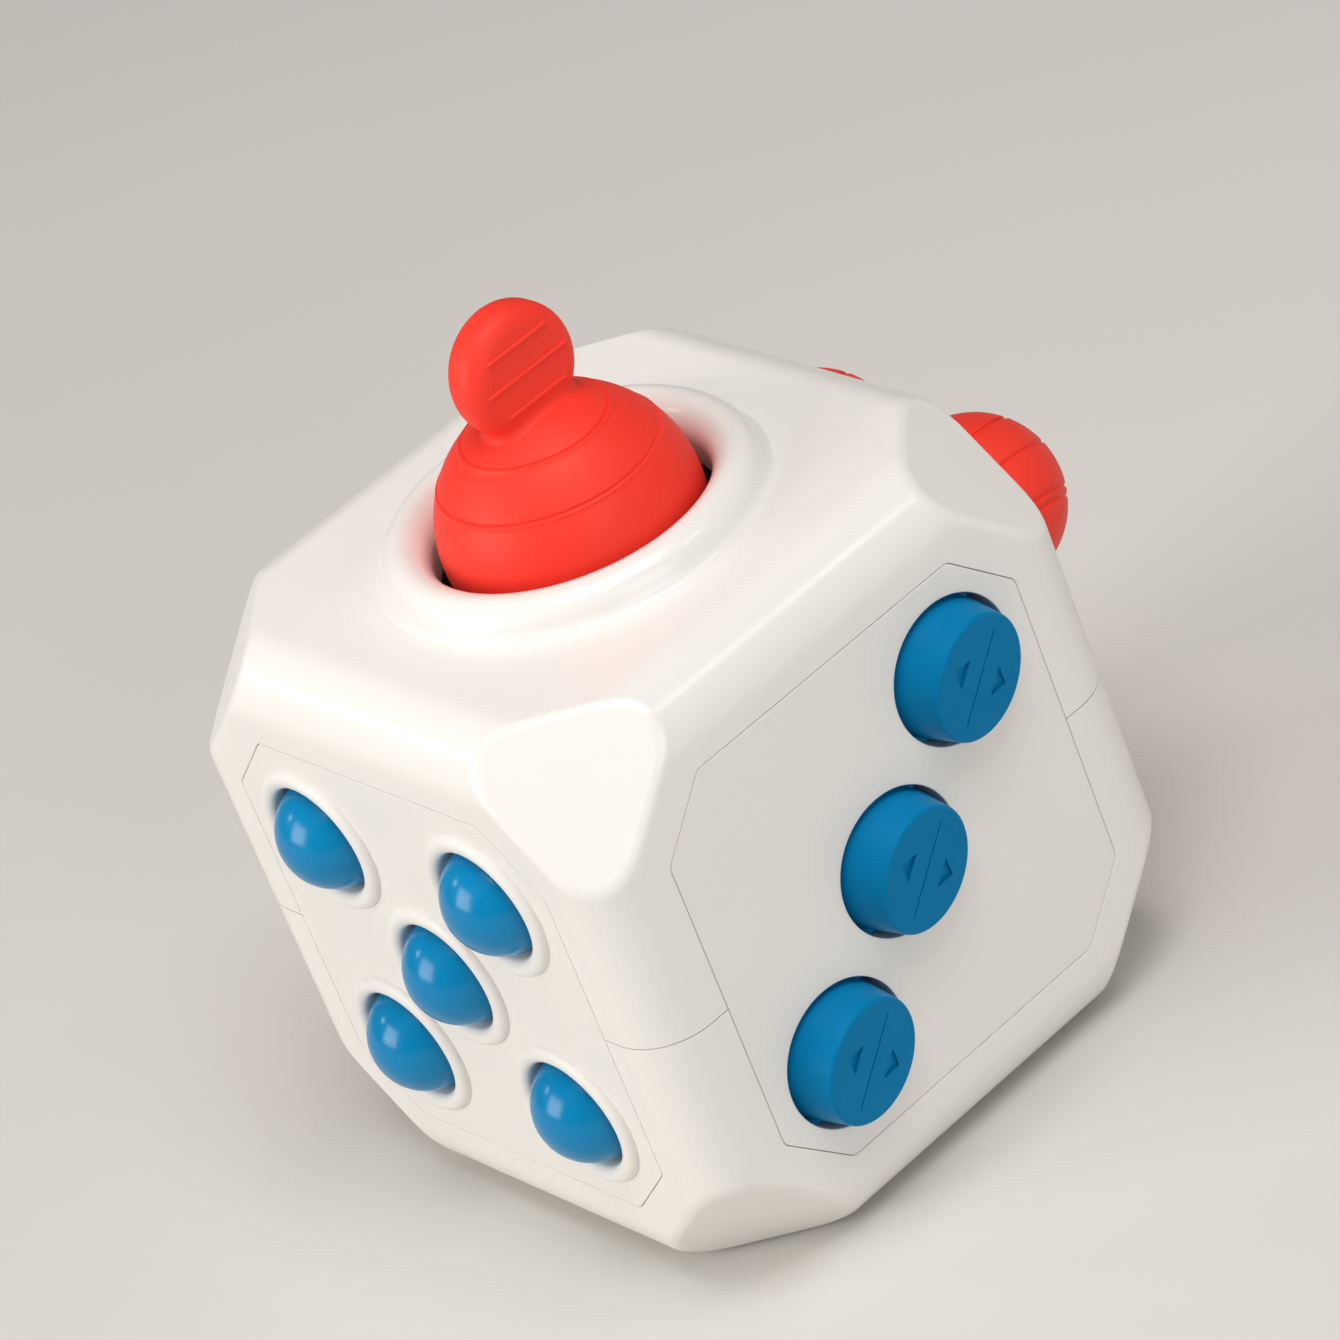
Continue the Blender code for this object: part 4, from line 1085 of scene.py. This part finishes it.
for step in range(1, 9):
    share = step / 8
    reach = last_r + (RING_OUTER_R + RING_FOOT - last_r) * share
    foot.append((reach, last_z * (1 - share) ** 2 - RING_SINK * share))
ring += foot + [(RING_OUTER_R + RING_FOOT, -CASE_WALL / 2), (ring_middle + 0.0005, -CASE_WALL)]
join(upper_shell, placed(turned(ring, 160, ring=True), LID))
boss_low = SEAT_PLATE_TOP + GAP
join(upper_shell, *rods(BOSS_R, boss_low, 2 * CASE_HALF - CASE_WALL / 2))
cut(upper_shell, *rods(SCREW_WAY_R, boss_low - CASE_WALL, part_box(CASE_SCREWS[0])[1].z + GAP))
finished(upper_shell, white_shell, "case", "white_shell", "upper_shell")

# ------------------------------------------------------------------- case screws
# Four long screws go up through the lower shell and the seat plate into bosses
# under the top, and draw the whole case together.
screws_for(CASE_SCREWS, Matrix.Identity(4))

# -------------------------------------------------------------------- base panel
# The bottom panel is pressed in last and hides the screws. Six shallow thumb
# dishes are moulded into it in two columns of three.
DISH_R = 0.0042
DISH_DEPTH = 0.0008
DISH_PITCH = (0.0140, 0.0125)
base_layers = [(panel_outline(), -BASE_THICK)] + soft_front()
base_panel = made_object("base_panel_white", placed(stacked(base_layers), BASE))
dish_ball_r = (DISH_R**2 + DISH_DEPTH**2) / (2 * DISH_DEPTH)
dish_end = math.degrees(math.asin(1.15 * DISH_R / dish_ball_r)) - 90
dish = arc(dish_ball_r, (0, dish_ball_r - DISH_DEPTH), -90, dish_end, 14)
dish.append((0, dish[-1][1]))
for column in (-0.5, 0.5):
    for row in (-1, 0, 1):
        spot = shifted(column * DISH_PITCH[0], row * DISH_PITCH[1])
        cut(base_panel, placed(turned(dish, 64), BASE, spot))
finished(base_panel, white_panel, "case", "white_panel", "base_panel", crease=12)

# ------------------------------------------------------------------ studio floor
# A broad pale studio floor, not part of the cube.
floor_shape = bmesh.new()
bmesh.ops.create_grid(floor_shape, x_segments=8, y_segments=8, size=4)
floor = made_object("studio_floor", floor_shape)
floor.location.z = -FIT
floor_finish = with_effect(
    "pale_studio_floor",
    MOULDED_SKIN,
    {
        "Colour": linear(216, 213, 208),
        "Cloud Colour": linear(213, 210, 204),
        "Gloss Low": 0.7,
        "Gloss High": 0.8,
        "Cloud Size": 6.0,
        "Grain Size": 900.0,
        "Grain Depth": 0.05,
    },
    Specular_IOR_Level=0.1,
)
floor.data.materials.append(floor_finish)

# ------------------------------------------------------------------ studio lights
# Four broad soft boxes: overhead, low and high in front, and on the right. Two small
# ones put a narrow glint on the rolled top edges, and a pale surround fills in.
world = bpy.data.worlds.new("studio_surround")
bpy.context.scene.world = world
world.use_nodes = True
world.node_tree.nodes["Background"].inputs["Color"].default_value = (1.0, 0.985, 0.965, 1)
world.node_tree.nodes["Background"].inputs["Strength"].default_value = 0.15


def soft_box(name, towards, distance, width, power, colour=(1, 1, 1)):
    """A square area light that shines at the cube from a direction."""
    light = bpy.data.lights.new(name, "AREA")
    light.size = width
    light.energy = power
    light.color = colour
    lamp = bpy.data.objects.new(name, light)
    bpy.context.scene.collection.objects.link(lamp)
    aim = Vector((0, 0, CASE_HALF))
    lamp.location = aim + Vector(towards).normalized() * distance
    lamp.rotation_mode = "QUATERNION"
    lamp.rotation_quaternion = Vector(towards).to_track_quat("Z", "Y")
    return lamp


soft_box("overhead", (0.25, -0.05, 1.0), 0.8, 0.50, 4.3, (1, 0.985, 0.97))
soft_box("front_low", (-0.35, -0.90, 0.35), 0.9, 0.45, 4.6, (1, 0.985, 0.955))
soft_box("front_high", (0.10, -0.75, 0.75), 0.9, 0.40, 0.1)
soft_box("right_side", (0.95, -0.10, 0.35), 0.9, 0.50, 2.0, (0.97, 0.99, 1))
soft_box("right_edge_glint", (0.52, 0.44, 0.73), 0.9, 0.10, 0.35)
soft_box("left_edge_glint", (-0.73, -0.52, 0.44), 0.9, 0.10, 0.34)

# ------------------------------------------------------------------------ camera
# A long lens looks down on the front corner of the cube, and is rolled to the left.
lens = bpy.data.cameras.new("view")
lens.lens = 174.63
lens.sensor_width = 36
lens.clip_start = 0.01
lens.clip_end = 50
camera = bpy.data.objects.new("view", lens)
bpy.context.scene.collection.objects.link(camera)
right = Vector((0.6426, 0.6953, -0.3219)).normalized()
back = Vector((0.7338, -0.4374, 0.5199)).normalized()
up = back.cross(right).normalized()
right = up.cross(back)
turn = Matrix((right, up, back)).transposed().to_4x4()
camera.matrix_world = Matrix.Translation((0.434322, -0.255507, 0.348306)) @ turn
bpy.context.scene.camera = camera
bpy.context.scene.view_settings.view_transform = "Standard"
